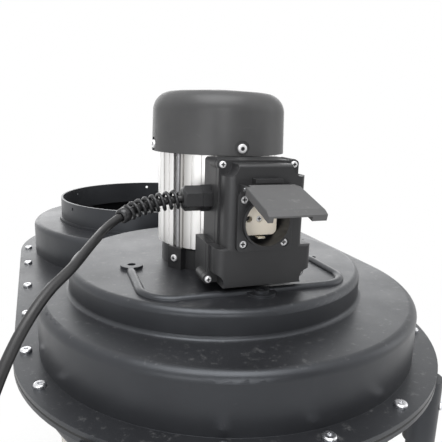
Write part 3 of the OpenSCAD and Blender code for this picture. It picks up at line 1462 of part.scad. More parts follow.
module fixed_axles() {
  color([0.75, 0.75, 0.77]) for (c = [castor_corners[2], castor_corners[3]]) axle(c, 0);
}
module swivel_fork(c) {
  color([0.6, 0.6, 0.62]) {
    translate([c[0], c[1], 0]) fork(trail, swivel_top);
    axle(c, trail);
  }
}
module left_fork() {
  swivel_fork(castor_corners[0]);
}
module right_fork() {
  swivel_fork(castor_corners[1]);
}
tread_t = 5;
tread_w = 10;
tread_f = 3;
rim_t = 5;
hub_t = 6;
web_w = 6;
module wheel(c, back) {
  mid = wheel_w / 2;
  color([0.1, 0.1, 0.1]) translate([c[0] - mid, c[1] + back, wheel_r]) rotate([0, quarter, 0])
    rotate_extrude() {
      translate([axle_r + run, 0]) square([hub_t, wheel_w]);
      translate([axle_r + hub_t / 2, mid - web_w / 2]) square([wheel_r - axle_r - hub_t, web_w]);
      translate([wheel_r - tread_t - rim_t, small_step]) square([rim_t + cut, wheel_w - 2 * small_step]);
      translate([wheel_r - tread_t, mid - tread_w / 2]) square([tread_t, tread_w]);
      for (y = [mid - tread_w / 2, mid + tread_w / 2]) translate([wheel_r - tread_f, y])
        circle(tread_f, $fn = 32);
    }
}
module wheel_front_left() {
  wheel(castor_corners[0], trail);
}
module wheel_front_right() {
  wheel(castor_corners[1], trail);
}
module wheel_rear_left() {
  wheel(castor_corners[2], 0);
}
module wheel_rear_right() {
  wheel(castor_corners[3], 0);
}

// Chip bag on the lower collar, held by a band with a toggle lever
bag_gap_r = 0.3;
bag_drop = 6;
bag_top = low_top - low_chamber_h - bag_drop;
neck_l = 44;
bag_neck_r = collar_r + bag_gap_r;
bag_low = leg_z + bag_gap;
bag_foot_r = 138;
bag_foot_l = 42;
shoulder_l = 60;
shoulder_in = 6;
strap_w = 18;
strap_t = 1.2;
strap_drop = 26;
strap_z = bag_top - strap_drop;
strap_r = bag_neck_r + bag_t;
strap_a = 160;
strap_slot = 4;
tab_t = 2;
tab_w = 10;
latch_off = 9;
latch_y = 8;
lever_l = 42;
lever_t = 2.5;
lever_pin_r = 2;
lever_eye = 2;
hook_t = 4;
module bag_2d(inset) {
  r = bag_r - inset;
  neck_r = bag_neck_r + bag_t - inset;
  polygon([[0, bag_low + inset], [bag_foot_r - inset, bag_low + inset], [r - shoulder_in, bag_low + bag_foot_l / 2],
    [r, bag_low + bag_foot_l], [r, bag_top - neck_l - shoulder_l],
    [r - shoulder_in, bag_top - neck_l - shoulder_l / 3], [neck_r, bag_top - neck_l],
    [neck_r, bag_top + inset], [0, bag_top + inset]]);
}
module chip_bag() {
  color([0.78, 0.76, 0.7]) at_chamber(0) rotate_extrude() difference() {
    bag_2d(0);
    bag_2d(bag_t);
  }
}
module bag_strap() {
  color([0.75, 0.75, 0.77]) at_chamber(strap_z) rotate([0, 0, strap_a]) {
    difference() {
      cylinder(r = strap_r + strap_t, h = strap_w);
      translate([0, 0, -cut]) cylinder(r = strap_r + seat, h = strap_w + 2 * cut);
      translate([strap_r - cut, -strap_slot / 2, -cut])
        cube([strap_t + 2 * cut, strap_slot, strap_w + 2 * cut]);
    }
    for (z = [0, strap_w - tab_t]) translate([strap_r + strap_t / 2, latch_y - tab_w / 2, z])
      cube([latch_off + lever_pin_r, tab_w, tab_t]);
    translate([strap_r + latch_off, latch_y, 0]) cylinder(r = lever_pin_r, h = strap_w, $fn = 32);
    translate([strap_r + strap_t / 2, -latch_y - tab_w / 2, tab_t]) cube([hook_t, tab_w, strap_w - 2 * tab_t]);
  }
}
module strap_lever() {
  w = strap_w - 2 * tab_t - 2 * gap;
  color([0.75, 0.75, 0.77]) at_chamber(strap_z) rotate([0, 0, strap_a])
    translate([strap_r + latch_off, latch_y, tab_t + gap]) difference() {
      union() {
        cylinder(r = lever_pin_r + lever_eye, h = w, $fn = 48);
        translate([-lever_t / 2, -lever_l, 0]) cube([lever_t, lever_l, w]);
      }
      translate([0, 0, -cut]) cylinder(r = lever_pin_r + run, h = w + 2 * cut, $fn = 32);
    }
}

housing_top();
housing_bottom();
inlet_pipe();
bag_collar();
housing_seal();
flange_screws();
flange_nuts();
motor_plate();
motor_screws();
stator_housing();
stator_core();
windings();
lower_shield();
upper_shield();
lower_bearing();
upper_bearing();
through_bolts();
fan_cover();
fan_cover_screws();
rotor_shaft();
rotor_core();
cooling_fan();
impeller();
impeller_nut();
box_base();
box_seal();
box_cover();
box_cover_screws();
run_capacitor();
relay_board();
socket_frame();
socket_insert();
socket_contacts();
socket_screws();
lid_hinge_pin();
socket_lid();
gland_body();
gland_nut();
bend_guard();
cord_free();
cord_coil();
plug_body();
plug_pins();
legs();
leg_screws();
foot_bolts();
base_plate();
castor_bolts();
swivel_plates();
fixed_forks();
fixed_axles();
left_fork();
right_fork();
wheel_front_left();
wheel_front_right();
wheel_rear_left();
wheel_rear_right();
chip_bag();
bag_strap();
strap_lever();
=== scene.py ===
import math
from collections import namedtuple

import bmesh
import bpy
from mathutils import Matrix, Vector


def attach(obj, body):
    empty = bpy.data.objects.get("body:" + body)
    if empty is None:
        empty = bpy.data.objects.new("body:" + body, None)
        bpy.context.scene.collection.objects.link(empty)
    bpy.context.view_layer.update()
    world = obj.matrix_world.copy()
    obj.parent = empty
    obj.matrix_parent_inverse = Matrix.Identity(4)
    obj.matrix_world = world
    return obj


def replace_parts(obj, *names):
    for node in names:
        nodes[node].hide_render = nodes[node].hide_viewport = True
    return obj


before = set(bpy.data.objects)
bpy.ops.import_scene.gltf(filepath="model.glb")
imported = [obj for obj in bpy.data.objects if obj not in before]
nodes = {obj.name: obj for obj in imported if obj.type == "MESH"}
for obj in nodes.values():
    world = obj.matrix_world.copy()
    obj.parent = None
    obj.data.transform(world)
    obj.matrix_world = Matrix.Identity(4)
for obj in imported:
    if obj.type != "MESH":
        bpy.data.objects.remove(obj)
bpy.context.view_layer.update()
scene = bpy.context.scene

MM = 0.001
FULL_TURN = 2 * math.pi
UP = Vector((0, 0, 1))


# Camera, at the photograph's viewing angle

CAMERA_AT = Vector((-0.166, -0.633, 0.912))
CAMERA_AHEAD = Vector((0.321, 0.923, -0.212)).normalized()
CAMERA_ROLL = 0.030
FOCAL_PX = 468.4
PHOTO_PX = 442
SENSOR_MM = 36
CLIP_NEAR = 0.01
CLIP_FAR = 100


def make_camera():
    right = CAMERA_AHEAD.cross(UP).normalized()
    up = right.cross(CAMERA_AHEAD)
    c, s = math.cos(CAMERA_ROLL), math.sin(CAMERA_ROLL)
    right, up = right * c + up * s, up * c - right * s
    data = bpy.data.cameras.new("camera")
    data.sensor_width = SENSOR_MM
    data.lens = FOCAL_PX / PHOTO_PX * SENSOR_MM
    data.clip_start = CLIP_NEAR
    data.clip_end = CLIP_FAR
    camera = bpy.data.objects.new("camera", data)
    scene.collection.objects.link(camera)
    turn = Matrix((right, up, -CAMERA_AHEAD)).transposed().to_4x4()
    camera.matrix_world = Matrix.Translation(CAMERA_AT) @ turn
    scene.camera = camera


make_camera()


# Node trees

def opaque(value):
    """A colour with its alpha, or the socket as it is."""
    return value if isinstance(value, bpy.types.NodeSocket) else (*value, 1)


class Tree:
    """A short way to write a node tree."""

    def __init__(self, owner, clear=False):
        owner.use_nodes = True
        self.tree = owner.node_tree
        if clear:
            self.tree.nodes.clear()

    def fill(self, socket, value):
        if isinstance(value, bpy.types.NodeSocket):
            self.tree.links.new(value, socket)
        else:
            socket.default_value = value

    def new(self, kind, inputs=None, **values):
        node = self.tree.nodes.new(kind)
        for k, v in values.items():
            setattr(node, k, v)
        for k, v in (inputs or {}).items():
            self.fill(node.inputs[k], v)
        return node

    def math(self, op, a, b=0.0):
        return self.new("ShaderNodeMath", {0: a, 1: b}, operation=op).outputs["Value"]

    def ramp(self, value, low, high, a=0.0, b=1.0, form="SMOOTHSTEP"):
        ends = {"Value": value, "From Min": low, "From Max": high, "To Min": a, "To Max": b}
        node = self.new("ShaderNodeMapRange", ends, interpolation_type=form)
        return node.outputs["Result"]


BEVEL_SAMPLES = 4


class Look(Tree):
    """A material's tree, with the parts that most materials share."""

    def __init__(self, name):
        self.mat = bpy.data.materials.new(name)
        super().__init__(self.mat)
        self.bsdf = next(n for n in self.tree.nodes if n.type == "BSDF_PRINCIPLED")
        self.coord = self.new("ShaderNodeTexCoord")
        self.place = self.coord.outputs["Object"]

    def scaled(self, size):
        node = self.new("ShaderNodeMapping", {"Vector": self.place, "Scale": size})
        return node.outputs["Vector"]

    def noise(self, scale, detail=3.0, rough=0.5, place=None, distortion=0.0):
        node = self.new("ShaderNodeTexNoise", {"Vector": place or self.place, "Scale": scale,
                                               "Detail": detail, "Roughness": rough,
                                               "Distortion": distortion})
        return node.outputs["Fac"]

    def cloud(self, scale, detail=3.0, rough=0.5, a=0.0, b=1.0):
        """Noise spread softly between two values."""
        return self.ramp(self.noise(scale, detail, rough), 0.3, 0.7, a, b)

    def wave(self, direction, scale, place=None, distortion=0.0, detail=2.0):
        node = self.new("ShaderNodeTexWave", {"Vector": place or self.place, "Scale": scale,
                                              "Distortion": distortion, "Detail": detail},
                        bands_direction=direction)
        return node.outputs["Fac"]

    def mix(self, share, a, b):
        node = self.new("ShaderNodeMix", {0: share, 6: opaque(a), 7: opaque(b)},
                        data_type="RGBA")
        return node.outputs[2]

    def times(self, a, b):
        return self.math("MULTIPLY", a, b)

    def bump(self, height, distance, strength, normal=None):
        node = self.new("ShaderNodeBump", {"Height": height, "Distance": distance,
                                           "Strength": strength})
        if normal is not None:
            self.fill(node.inputs["Normal"], normal)
        return node.outputs["Normal"]

    def rounded(self, edge):
        """The normal with softened edges."""
        return self.new("ShaderNodeBevel", {"Radius": edge},
                        samples=BEVEL_SAMPLES).outputs["Normal"]

    def axes(self, vector):
        return self.new("ShaderNodeSeparateXYZ", {"Vector": vector}).outputs

    def put(self, **values):
        for k, v in values.items():
            self.fill(self.bsdf.inputs[k.replace("_", " ")], v)

    def color(self, value):
        self.put(Base_Color=opaque(value))


# Materials

SCUFF_SHARE = 0.22
SCUFF_GAIN = 2.4
SCUFF_LIFT = 0.02
DUST = (0.42, 0.42, 0.42)
PLASTIC_COAT_ROUGH = 0.25
PAINT_COAT_ROUGH = 0.2
SPOT_SHADE = 0.55
LEAST_ROUGH = 0.04


def plastic(name, dark, light, rough, grain, grain_h, dust=0.0, coat=0.0, edge=0.0005,
            shine=0.5, tint=(0.97, 0.98, 1.0)):
    """Moulded plastic: fine grain, cloudy gloss, faint scuffs and a little dust on top."""
    n = Look(name)
    base = n.mix(n.ramp(n.noise(7, 5, 0.6), 0.35, 0.7), dark, light)
    scuff = n.ramp(n.noise(3.2, 7, 0.7, n.scaled((14, 90, 60)), 0.6), 0.63, 0.72)
    scuffed = tuple(min(1, c * SCUFF_GAIN + SCUFF_LIFT) for c in light)
    base = n.mix(n.times(scuff, SCUFF_SHARE), base, scuffed)
    if dust:
        speck = n.ramp(n.noise(160, 4, 0.7), 0.56, 0.72)
        facing = n.axes(n.new("ShaderNodeNewGeometry").outputs["Normal"])["Z"]
        high = n.ramp(facing, 0.6, 0.98)
        base = n.mix(n.times(n.times(speck, high), dust), base, DUST)
    n.color(base)
    n.put(Roughness=n.ramp(n.noise(11, 6, 0.65), 0.25, 0.75, rough - 0.05, rough + 0.07))
    n.put(Specular_Tint=(*tint, 1.0), Specular_IOR_Level=shine)
    if coat:
        n.put(Coat_Weight=coat, Coat_Roughness=PLASTIC_COAT_ROUGH)
    n.put(Normal=n.bump(n.noise(grain, 2, 0.5), grain_h, 0.6, n.rounded(edge)))
    return n.mat


def metal(name, dark, light, rough, streak=(1, 1, 1), streak_h=0.00002, edge=0.0003,
          spot=0.0, bare=1.0):
    """Bare or plated metal with fine streaks."""
    n = Look(name)
    lines = n.noise(420, 4, 0.55, n.scaled(streak))
    base = n.mix(n.cloud(16, 5, 0.6), dark, light)
    if spot:
        mark = n.ramp(n.noise(55, 6, 0.7), 0.6, 0.7)
        base = n.mix(n.times(mark, spot), base, tuple(c * SPOT_SHADE for c in dark))
    n.color(base)
    n.put(Metallic=bare)
    n.put(Roughness=n.ramp(lines, 0.3, 0.7, max(LEAST_ROUGH, rough - 0.08), rough + 0.1))
    n.put(Normal=n.bump(lines, streak_h, 0.5, n.rounded(edge)))
    return n.mat


def extruded(name):
    """Drawn aluminium: soft upright bands of painted reflection, with faint die lines."""
    n = Look(name)
    # The broad bands, from dark to bright metal colour, are painted reflection; the narrow lines
    # are die lines.
    painted_reflection_bands = n.ramp(n.noise(48, 1, 0.3, n.scaled((1, 1, 0.012))), 0.36, 0.60)
    narrow = n.ramp(n.noise(260, 2, 0.5, n.scaled((1, 1, 0.01))), 0.35, 0.65)
    base = n.mix(painted_reflection_bands, (0.40, 0.39, 0.375), (0.93, 0.925, 0.915))
    n.color(n.mix(n.times(narrow, 0.3), base, (0.62, 0.61, 0.60)))
    n.put(Metallic=1.0, Roughness=n.cloud(40, 4, 0.5, 0.36, 0.44))
    n.put(Normal=n.bump(narrow, 0.00001, 0.4, n.rounded(0.0005)))
    return n.mat


def paint(name, dark, light, rough, peel, peel_h, coat=0.2, edge=0.0005):
    """Sprayed or powder paint: soft orange peel and a thin clear skin."""
    n = Look(name)
    n.color(n.mix(n.cloud(9, 5, 0.6), dark, light))
    n.put(Roughness=n.cloud(24, 5, 0.6, rough - 0.05, rough + 0.08))
    n.put(Coat_Weight=coat, Coat_Roughness=PAINT_COAT_ROUGH)
    n.put(Normal=n.bump(n.noise(peel, 2, 0.4), peel_h, 0.5, n.rounded(edge)))
    return n.mat


def rubber(name, dark, light, rough, grain, grain_h):
    n = Look(name)
    n.color(n.mix(n.cloud(30, 5, 0.6), dark, light))
    n.put(Roughness=n.cloud(60, 4, 0.6, rough - 0.06, rough + 0.08))
    n.put(Normal=n.bump(n.noise(grain, 3, 0.6), grain_h, 0.6))
    return n.mat


AXLE_Z = 0.025
FRONT_AXLE_Y = -0.36
REAR_AXLE_Y = 0.378
HUB_R = 0.0192
TREAD_R = 0.0198


def wheel_rubber(name):
    """Grey hub and black tread, told apart by how far a point is from its axle."""
    n = Look(name)
    at = n.axes(n.place)
    over = n.math("SUBTRACT", at["Z"], AXLE_Z)
    front = n.math("ABSOLUTE", n.math("SUBTRACT", at["Y"], FRONT_AXLE_Y))
    rear = n.math("ABSOLUTE", n.math("SUBTRACT", at["Y"], REAR_AXLE_Y))
    along = n.math("MINIMUM", front, rear)
    squares = n.math("ADD", n.times(along, along), n.times(over, over))
    tread = n.ramp(n.math("SQRT", squares), HUB_R, TREAD_R)
    hub = n.mix(n.cloud(80, 4), (0.16, 0.16, 0.165), (0.2, 0.2, 0.205))
    tyre = n.mix(n.cloud(140, 5), (0.02, 0.02, 0.02), (0.045, 0.043, 0.04))
    n.color(n.mix(tread, hub, tyre))
    n.put(Roughness=n.ramp(tread, 0.0, 1.0, 0.38, 0.72))
    n.put(Normal=n.bump(n.noise(900, 3), 0.00008, 0.6))
    return n.mat


def laminated(name):
    """Stacked sheets of iron."""
    n = Look(name)
    sheets = n.wave("Z", 320.0)
    n.color(n.mix(sheets, (0.16, 0.16, 0.17), (0.42, 0.42, 0.44)))
    n.put(Metallic=1.0, Roughness=n.cloud(200, 3, 0.5, 0.35, 0.5))
    n.put(Normal=n.bump(sheets, 0.0001, 0.6))
    return n.mat


def wound(name):
    """Turns of copper wire."""
    n = Look(name)
    turns = n.wave("Z", 420.0, distortion=3.0)
    n.color(n.mix(turns, (0.30, 0.10, 0.03), (0.78, 0.36, 0.15)))
    n.put(Metallic=0.7, Roughness=n.cloud(200, 3, 0.5, 0.28, 0.42))
    n.put(Normal=n.bump(turns, 0.0002, 0.8))
    return n.mat


THREADS = 190.0


def cloth(name):
    """Filter cloth in plain weave, slightly soiled."""
    n = Look(name)
    uv = n.coord.outputs["UV"]
    warp, weft = (n.wave(way, THREADS, uv, 0.6, 1.0) for way in "XY")
    weave = n.times(warp, weft)
    thread = n.mix(n.ramp(weave, 0.1, 0.8), (0.50, 0.48, 0.43), (0.74, 0.72, 0.66))
    soil = n.ramp(n.noise(5, 6, 0.65), 0.45, 0.75)
    n.color(n.mix(n.times(soil, 0.35), thread, (0.50, 0.44, 0.34)))
    n.put(Roughness=n.cloud(300, 3, 0.5, 0.82, 0.95))
    n.put(Sheen_Weight=0.25, Sheen_Roughness=0.5)
    wrinkle = n.bump(n.noise(22, 5, 0.55), 0.0015, 0.5)
    n.put(Normal=n.bump(weave, 0.00025, 0.8, wrinkle))
    return n.mat


MATERIALS = {
    "moulded": plastic("moulded", (0.0135, 0.0138, 0.0155), (0.0215, 0.0222, 0.0248), rough=0.39,
                       grain=1400, grain_h=0.00010, dust=0.12, coat=0.1, shine=0.48,
                       tint=(0.86, 0.92, 1.0)),
    "cover": plastic("cover", (0.034, 0.034, 0.0345), (0.052, 0.052, 0.0525), rough=0.53,
                     grain=1700, grain_h=0.00014, dust=0.05, coat=0.15, shine=0.4),
    "box": plastic("box", (0.013, 0.013, 0.0135), (0.020, 0.020, 0.021), rough=0.40,
                   grain=1900, grain_h=0.00012, dust=0.05),
    "lid": plastic("lid", (0.080, 0.080, 0.081), (0.100, 0.100, 0.101), rough=0.5,
                   grain=1900, grain_h=0.00012, dust=0.15, shine=0.25),
    "gland": plastic("gland", (0.010, 0.010, 0.0105), (0.015, 0.015, 0.016), rough=0.30,
                     grain=2200, grain_h=0.00006),
    "can": plastic("can", (0.70, 0.70, 0.68), (0.78, 0.78, 0.76), rough=0.45,
                   grain=900, grain_h=0.00008),
    "board": plastic("board", (0.02, 0.10, 0.05), (0.03, 0.14, 0.07), rough=0.45,
                     grain=700, grain_h=0.00012),
    "cream": plastic("cream", (0.90, 0.82, 0.69), (0.94, 0.87, 0.75), rough=0.38,
                     grain=1500, grain_h=0.00006),
    "seal": rubber("seal", (0.010, 0.010, 0.010), (0.02, 0.02, 0.02), rough=0.75,
                   grain=1500, grain_h=0.0003),
    "lead": rubber("lead", (0.008, 0.008, 0.0085), (0.014, 0.0138, 0.0148), rough=0.42,
                   grain=900, grain_h=0.00008),
    "zinc": metal("zinc", (0.62, 0.63, 0.65), (0.82, 0.82, 0.84), rough=0.26,
                  streak_h=0.00003, spot=0.25),
    "bolt": metal("bolt", (0.30, 0.30, 0.31), (0.38, 0.38, 0.39), rough=0.45),
    "screw": metal("screw", (0.66, 0.66, 0.67), (0.80, 0.80, 0.81), rough=0.36,
                   streak_h=0.00001, edge=0.0002, spot=0.1, bare=0.45),
    # recess: dark metal for the driver recesses of the screws, painted shade where the recess
    # lies in shadow
    "recess": metal("recess", (0.05, 0.05, 0.052), (0.09, 0.09, 0.092), rough=0.6),
    "plate": metal("plate", (0.40, 0.41, 0.43), (0.55, 0.56, 0.58), rough=0.34,
                   streak=(1, 1, 6), streak_h=0.00003, edge=0.0004, spot=0.3),
    "bearing": metal("bearing", (0.66, 0.66, 0.68), (0.8, 0.8, 0.82), rough=0.16,
                     streak=(1, 1, 8), streak_h=0.00001),
    "contact": metal("contact", (0.66, 0.62, 0.50), (0.84, 0.80, 0.68), rough=0.25),
    "castor": metal("castor", (0.52, 0.52, 0.53), (0.70, 0.69, 0.66), rough=0.32,
                    streak_h=0.00004, edge=0.0004, spot=0.3),
    "shield": paint("shield", (0.012, 0.012, 0.013), (0.019, 0.019, 0.020), rough=0.36,
                    peel=500, peel_h=0.0002, coat=0.3),
    "impeller": paint("impeller", (0.26, 0.27, 0.29), (0.32, 0.33, 0.35), rough=0.42,
                      peel=420, peel_h=0.0002, coat=0.1),
    "stand": paint("stand", (0.016, 0.016, 0.017), (0.024, 0.024, 0.025), rough=0.44,
                   peel=380, peel_h=0.0003, coat=0.15),
    "alu": extruded("alu"),
    "lamination": laminated("lamination"),
    "copper": wound("copper"),
    "wheel": wheel_rubber("wheel"),
    "bag": cloth("bag"),
}

WEARS = {
    "moulded": "housing_top housing_bottom inlet_pipe bag_collar",
    "cover": "fan_cover cooling_fan",
    "box": "box_base box_cover socket_frame",
    "lid": "socket_lid",
    "gland": "gland_body gland_nut bend_guard",
    "seal": "housing_seal box_seal",
    "bolt": "through_bolts",
    "zinc": "flange_screws flange_nuts motor_screws fan_cover_screws box_cover_screws "
            "socket_screws leg_screws foot_bolts castor_bolts impeller_nut lid_hinge_pin "
            "fixed_axles",
    "plate": "motor_plate bag_strap strap_lever",
    "alu": "stator_housing",
    "lamination": "stator_core rotor_core",
    "copper": "windings",
    "shield": "lower_shield upper_shield",
    "bearing": "lower_bearing upper_bearing rotor_shaft",
    "impeller": "impeller",
    "can": "run_capacitor",
    "board": "relay_board",
    "cream": "socket_insert",
    "contact": "socket_contacts plug_pins",
    "lead": "cord_free cord_coil plug_body",
    "stand": "legs base_plate",
    "castor": "swivel_plates fixed_forks left_fork right_fork",
    "wheel": "wheel_front_left wheel_front_right wheel_rear_left wheel_rear_right",
    "bag": "chip_bag",
}
for look, names in WEARS.items():
    for name in names.split():
        mesh = nodes[name].data
        mesh.materials.clear()
        mesh.materials.append(MATERIALS[look])


def wear(obj, look, body):
    obj.data.materials.clear()
    obj.data.materials.append(MATERIALS[look])
    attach(obj, body)


# Meshes made of rings

def mesh_object(name, verts, faces):
    data = bpy.data.meshes.new(name)
    data.from_pydata([tuple(v) for v in verts], [], faces)
    data.validate()
    obj = bpy.data.objects.new(name, data)
    scene.collection.objects.link(obj)
    bm = bmesh.new()
    bm.from_mesh(data)
    bmesh.ops.recalc_face_normals(bm, faces=bm.faces)
    for f in bm.faces:
        f.smooth = True
    bm.to_mesh(data)
    bm.free()
    return obj


def sharpen(obj, degrees):
    obj.data.set_sharp_from_angle(angle=math.radians(degrees))


def angles(count):
    return [FULL_TURN * k / count for k in range(count)]


def across(along, other):
    """Two directions at right angles to the first one."""
    u = along.cross(other).normalized()
    return u, along.cross(u)


def ring(centre, u, v, radius, count):
    return [centre + radius * (math.cos(a) * u + math.sin(a) * v) for a in angles(count)]


def strip(one, other, count):
    """Faces between two closed rows of points, given by their first numbers."""
    return [(one + k, one + (k + 1) % count, other + (k + 1) % count, other + k)
            for k in range(count)]


def cap(first, count, turned=False):
    return tuple(first + k for k in (reversed(range(count)) if turned else range(count)))


def tube_mesh(name, points, radii, refs, count):
    """A closed tube along the points."""
    verts, faces = [], []
    last = len(points) - 1
    for i, p in enumerate(points):
        along = (points[min(i + 1, last)] - points[max(i - 1, 0)]).normalized()
        u, v = across(along, refs[i])
        verts += ring(p, u, v, radii[i], count)
    for i in range(last):
        faces += strip(i * count, (i + 1) * count, count)
    faces += [cap(0, count, True), cap(last * count, count)]
    return mesh_object(name, verts, faces)


# The lead: the same listed points as the solid's

ROUTE_MM = [(-66, -246, 844.5), (-80, -246, 843), (-94, -247, 840.5), (-107, -250, 837.5),
            (-119, -256, 833.5), (-128, -264, 830), (-136, -275, 826.5), (-148, -299, 821),
            (-161, -324, 814), (-175, -343, 806.5), (-186, -357, 796), (-196, -369, 781.5),
            (-206, -382, 761), (-216, -396, 733), (-226, -410, 695), (-235, -423, 645),
            (-243, -433, 577), (-248, -439, 487), (-250, -441, 377), (-250, -441, 247),
            (-250, -441, 127), (-250, -441, 67), (-250, -441, 53.5), (-251.5, -441, 40.5),
            (-256.5, -441, 28.5), (-264.5, -441, 18), (-275, -441, 10), (-287, -441, 5),
            (-300, -441, 3.5)]
TAIL_MM = [(-316, -441, 11.1), (-326, -441, 12), (-337, -441, 15), (-348, -441, 17.6)]
ROUTE = [Vector(p) * MM for p in ROUTE_MM]
TAIL = [Vector(p) * MM for p in TAIL_MM]
ROUTE_STEP = 4 * MM
CORD_R = 3.5 * MM
CORD_SIDES = 5
COIL_C = Vector((-308, -394, 0)) * MM
COIL_LOOPS = 4
COIL_R = 47 * MM
COIL_PITCH = 7.7 * MM
LAYER_RISE = 7.6 * MM
LOOP_RINGS = 48


def smooth_path(points, step):
    """The smooth curve through the points, a few millimetres a step."""
    out = []
    last = len(points) - 1
    for i in range(last):
        a, b = points[max(i - 1, 0)], points[i]
        c, d = points[i + 1], points[min(i + 2, last)]
        n = max(1, round((c - b).length / step))
        for k in range(n):
            t = k / n
            out.append(0.5 * (2 * b + (c - a) * t + (2 * a - 5 * b + 4 * c - d) * t * t
                              + (3 * b - a - 3 * c + d) * t ** 3))
    return out + [points[-1]]


def coil_point(t):
    """A point of the coil after t loops: inwards in one layer, outwards in the next."""
    r = COIL_R - COIL_PITCH * (COIL_LOOPS / 2 - abs(t - COIL_LOOPS / 2))
    up = min(1, max(0, 2 * (t - COIL_LOOPS / 2) + 0.5))
    a = -math.pi / 2 - FULL_TURN * t
    return COIL_C + Vector((r * math.cos(a), r * math.sin(a), CORD_R + LAYER_RISE * up))


lead_in = smooth_path(ROUTE, ROUTE_STEP)
coil = [coil_point(i / LOOP_RINGS) for i in range(COIL_LOOPS * LOOP_RINGS + 1)]
path = lead_in + coil + smooth_path(TAIL, ROUTE_STEP)


def curve_object(name, points, radius):
    data = bpy.data.curves.new(name, "CURVE")
    data.dimensions = "3D"
    data.bevel_depth = radius
    data.bevel_resolution = CORD_SIDES
    data.use_fill_caps = True
    spline = data.splines.new("POLY")
    spline.points.add(len(points) - 1)
    for p, q in zip(spline.points, points):
        p.co = (*q, 1)
    spline.use_smooth = True
    obj = bpy.data.objects.new(name, data)
    scene.collection.objects.link(obj)
    return obj


lead = curve_object("lead", path, CORD_R)
lead.data.materials.append(MATERIALS["lead"])
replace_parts(lead, "cord_free", "cord_coil")
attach(lead, "machine")


# Spiral bend guard round the lead, and its end collar

GUARD_TURNS = 8
GUARD_WIRE = 1.5 * MM
GUARD_R0 = 7.2 * MM
GUARD_R1 = 5.9 * MM
GUARD_PITCH = 6 * MM
GUARD_L = GUARD_TURNS * GUARD_PITCH
GUARD_RINGS = 28
GUARD_SIDES = 12
GUARD_TIP = 0.35
GUARD_TIP_RISE = 6
CORD_IN = 2 * MM
GUARD_START = CORD_IN + GUARD_WIRE + 0.02 * MM
COLLAR_L = 8 * MM
COLLAR_R = 6.4 * MM
COLLAR_BORE = CORD_R + 0.3 * MM
COLLAR_SIDES = 40
COLLAR_PROFILE = [(0, COLLAR_BORE), (0, COLLAR_R - 0.8 * MM), (0.8 * MM, COLLAR_R),
                  (COLLAR_L - 1.2 * MM, COLLAR_R - 0.3 * MM), (COLLAR_L, COLLAR_R - 1.5 * MM),
                  (COLLAR_L, COLLAR_BORE)]
GUARD_REF = Vector((0.5, -0.6, 0.62))


def walk(points, s):
    """The point at a length along the points."""
    for a, b in zip(points, points[1:]):
        step = (b - a).length
        if s <= step:
            return a + (b - a) * (s / step)
        s -= step
    return points[-1].copy()


def lead_frame(s):
    """The lead's direction at a length along it, and two directions across it."""
    along = (walk(lead_in, s + CORD_R) - walk(lead_in, max(0, s - CORD_R))).normalized()
    return along, *across(along, GUARD_REF)


def make_guard():
    total = GUARD_TURNS * GUARD_RINGS
    points, axes, radii = [], [], []
    for i in range(total + 1):
        t = i / total
        s = GUARD_START + t * GUARD_L
        along, u, v = lead_frame(s)
        a = FULL_TURN * i / GUARD_RINGS
        r = GUARD_R0 + t * (GUARD_R1 - GUARD_R0)
        points.append(walk(lead_in, s) + r * (math.cos(a) * u + math.sin(a) * v))
        axes.append(along)
        end = min(i, total - i) / GUARD_RINGS
        radii.append(GUARD_WIRE * min(1.0, GUARD_TIP + GUARD_TIP_RISE * end))
    guard = tube_mesh("guard_spiral", points, radii, axes, GUARD_SIDES)
    wear(guard, "gland", "machine")
    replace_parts(guard, "bend_guard")


def make_guard_collar():
    verts, faces = [], []
    for along, r in COLLAR_PROFILE:
        s = GUARD_START + GUARD_L + along
        _, u, v = lead_frame(s)
        verts += ring(walk(lead_in, s), u, v, r, COLLAR_SIDES)
    rows = len(COLLAR_PROFILE)
    for i in range(rows):
        faces += strip(i * COLLAR_SIDES, (i + 1) % rows * COLLAR_SIDES, COLLAR_SIDES)
    collar = mesh_object("guard_collar", verts, faces)
    wear(collar, "gland", "machine")


make_guard()
make_guard_collar()


# Small concave fillet where the motor disc meets the deck

FAN_AXIS = Vector((-10, -167, 0)) * MM
DISC_R = 152 * MM
DISC_Z = 767 * MM
DECK_Z = 742 * MM
FILLET_R = 3.5 * MM
FILLET_SUNK = 0.6 * MM
FILLET_RINGS = 160
FILLET_STEPS = 7


def make_fillet():
    inner = DISC_R - FILLET_SUNK
    centre_r, centre_z = DISC_R + FILLET_R, DECK_Z + FILLET_R
    profile = [(inner, centre_z)]
    for k in range(FILLET_STEPS + 1):
        a = math.pi + k * math.pi / 2 / FILLET_STEPS
        profile.append((centre_r + FILLET_R * math.cos(a), centre_z + FILLET_R * math.sin(a)))
    profile += [(centre_r, DECK_Z - FILLET_SUNK), (inner, DECK_Z - FILLET_SUNK)]
    verts, faces = [], []
    n = len(profile)
    for a in angles(FILLET_RINGS):
        verts += [FAN_AXIS + Vector((r * math.cos(a), r * math.sin(a), z)) for r, z in profile]
    for k in range(FILLET_RINGS):
        faces += strip((k + 1) % FILLET_RINGS * n, k * n, n)
    fillet = mesh_object("disc_fillet", verts, faces)
    sharpen(fillet, 40)
    wear(fillet, "moulded", "machine")


make_fillet()


# Screws with driver recesses, in the places of the solid's plain ones

Head = namedtuple("Head", "radius height recess recess_r depth")
WELD = 0.02 * MM
SHANK_GAP = 0.5 * MM
SCREW_SIDES = 48
BEND_SHARE = 0.45
BEND_STEPS = 4
RECESS_STEPS = ((0, 1.0), (0.15, 0.94), (1, 0.8))
RECESS_FACES = (len(RECESS_STEPS) - 1) * SCREW_SIDES
ARM_SHARE = 0.3
TINY = 1e-6


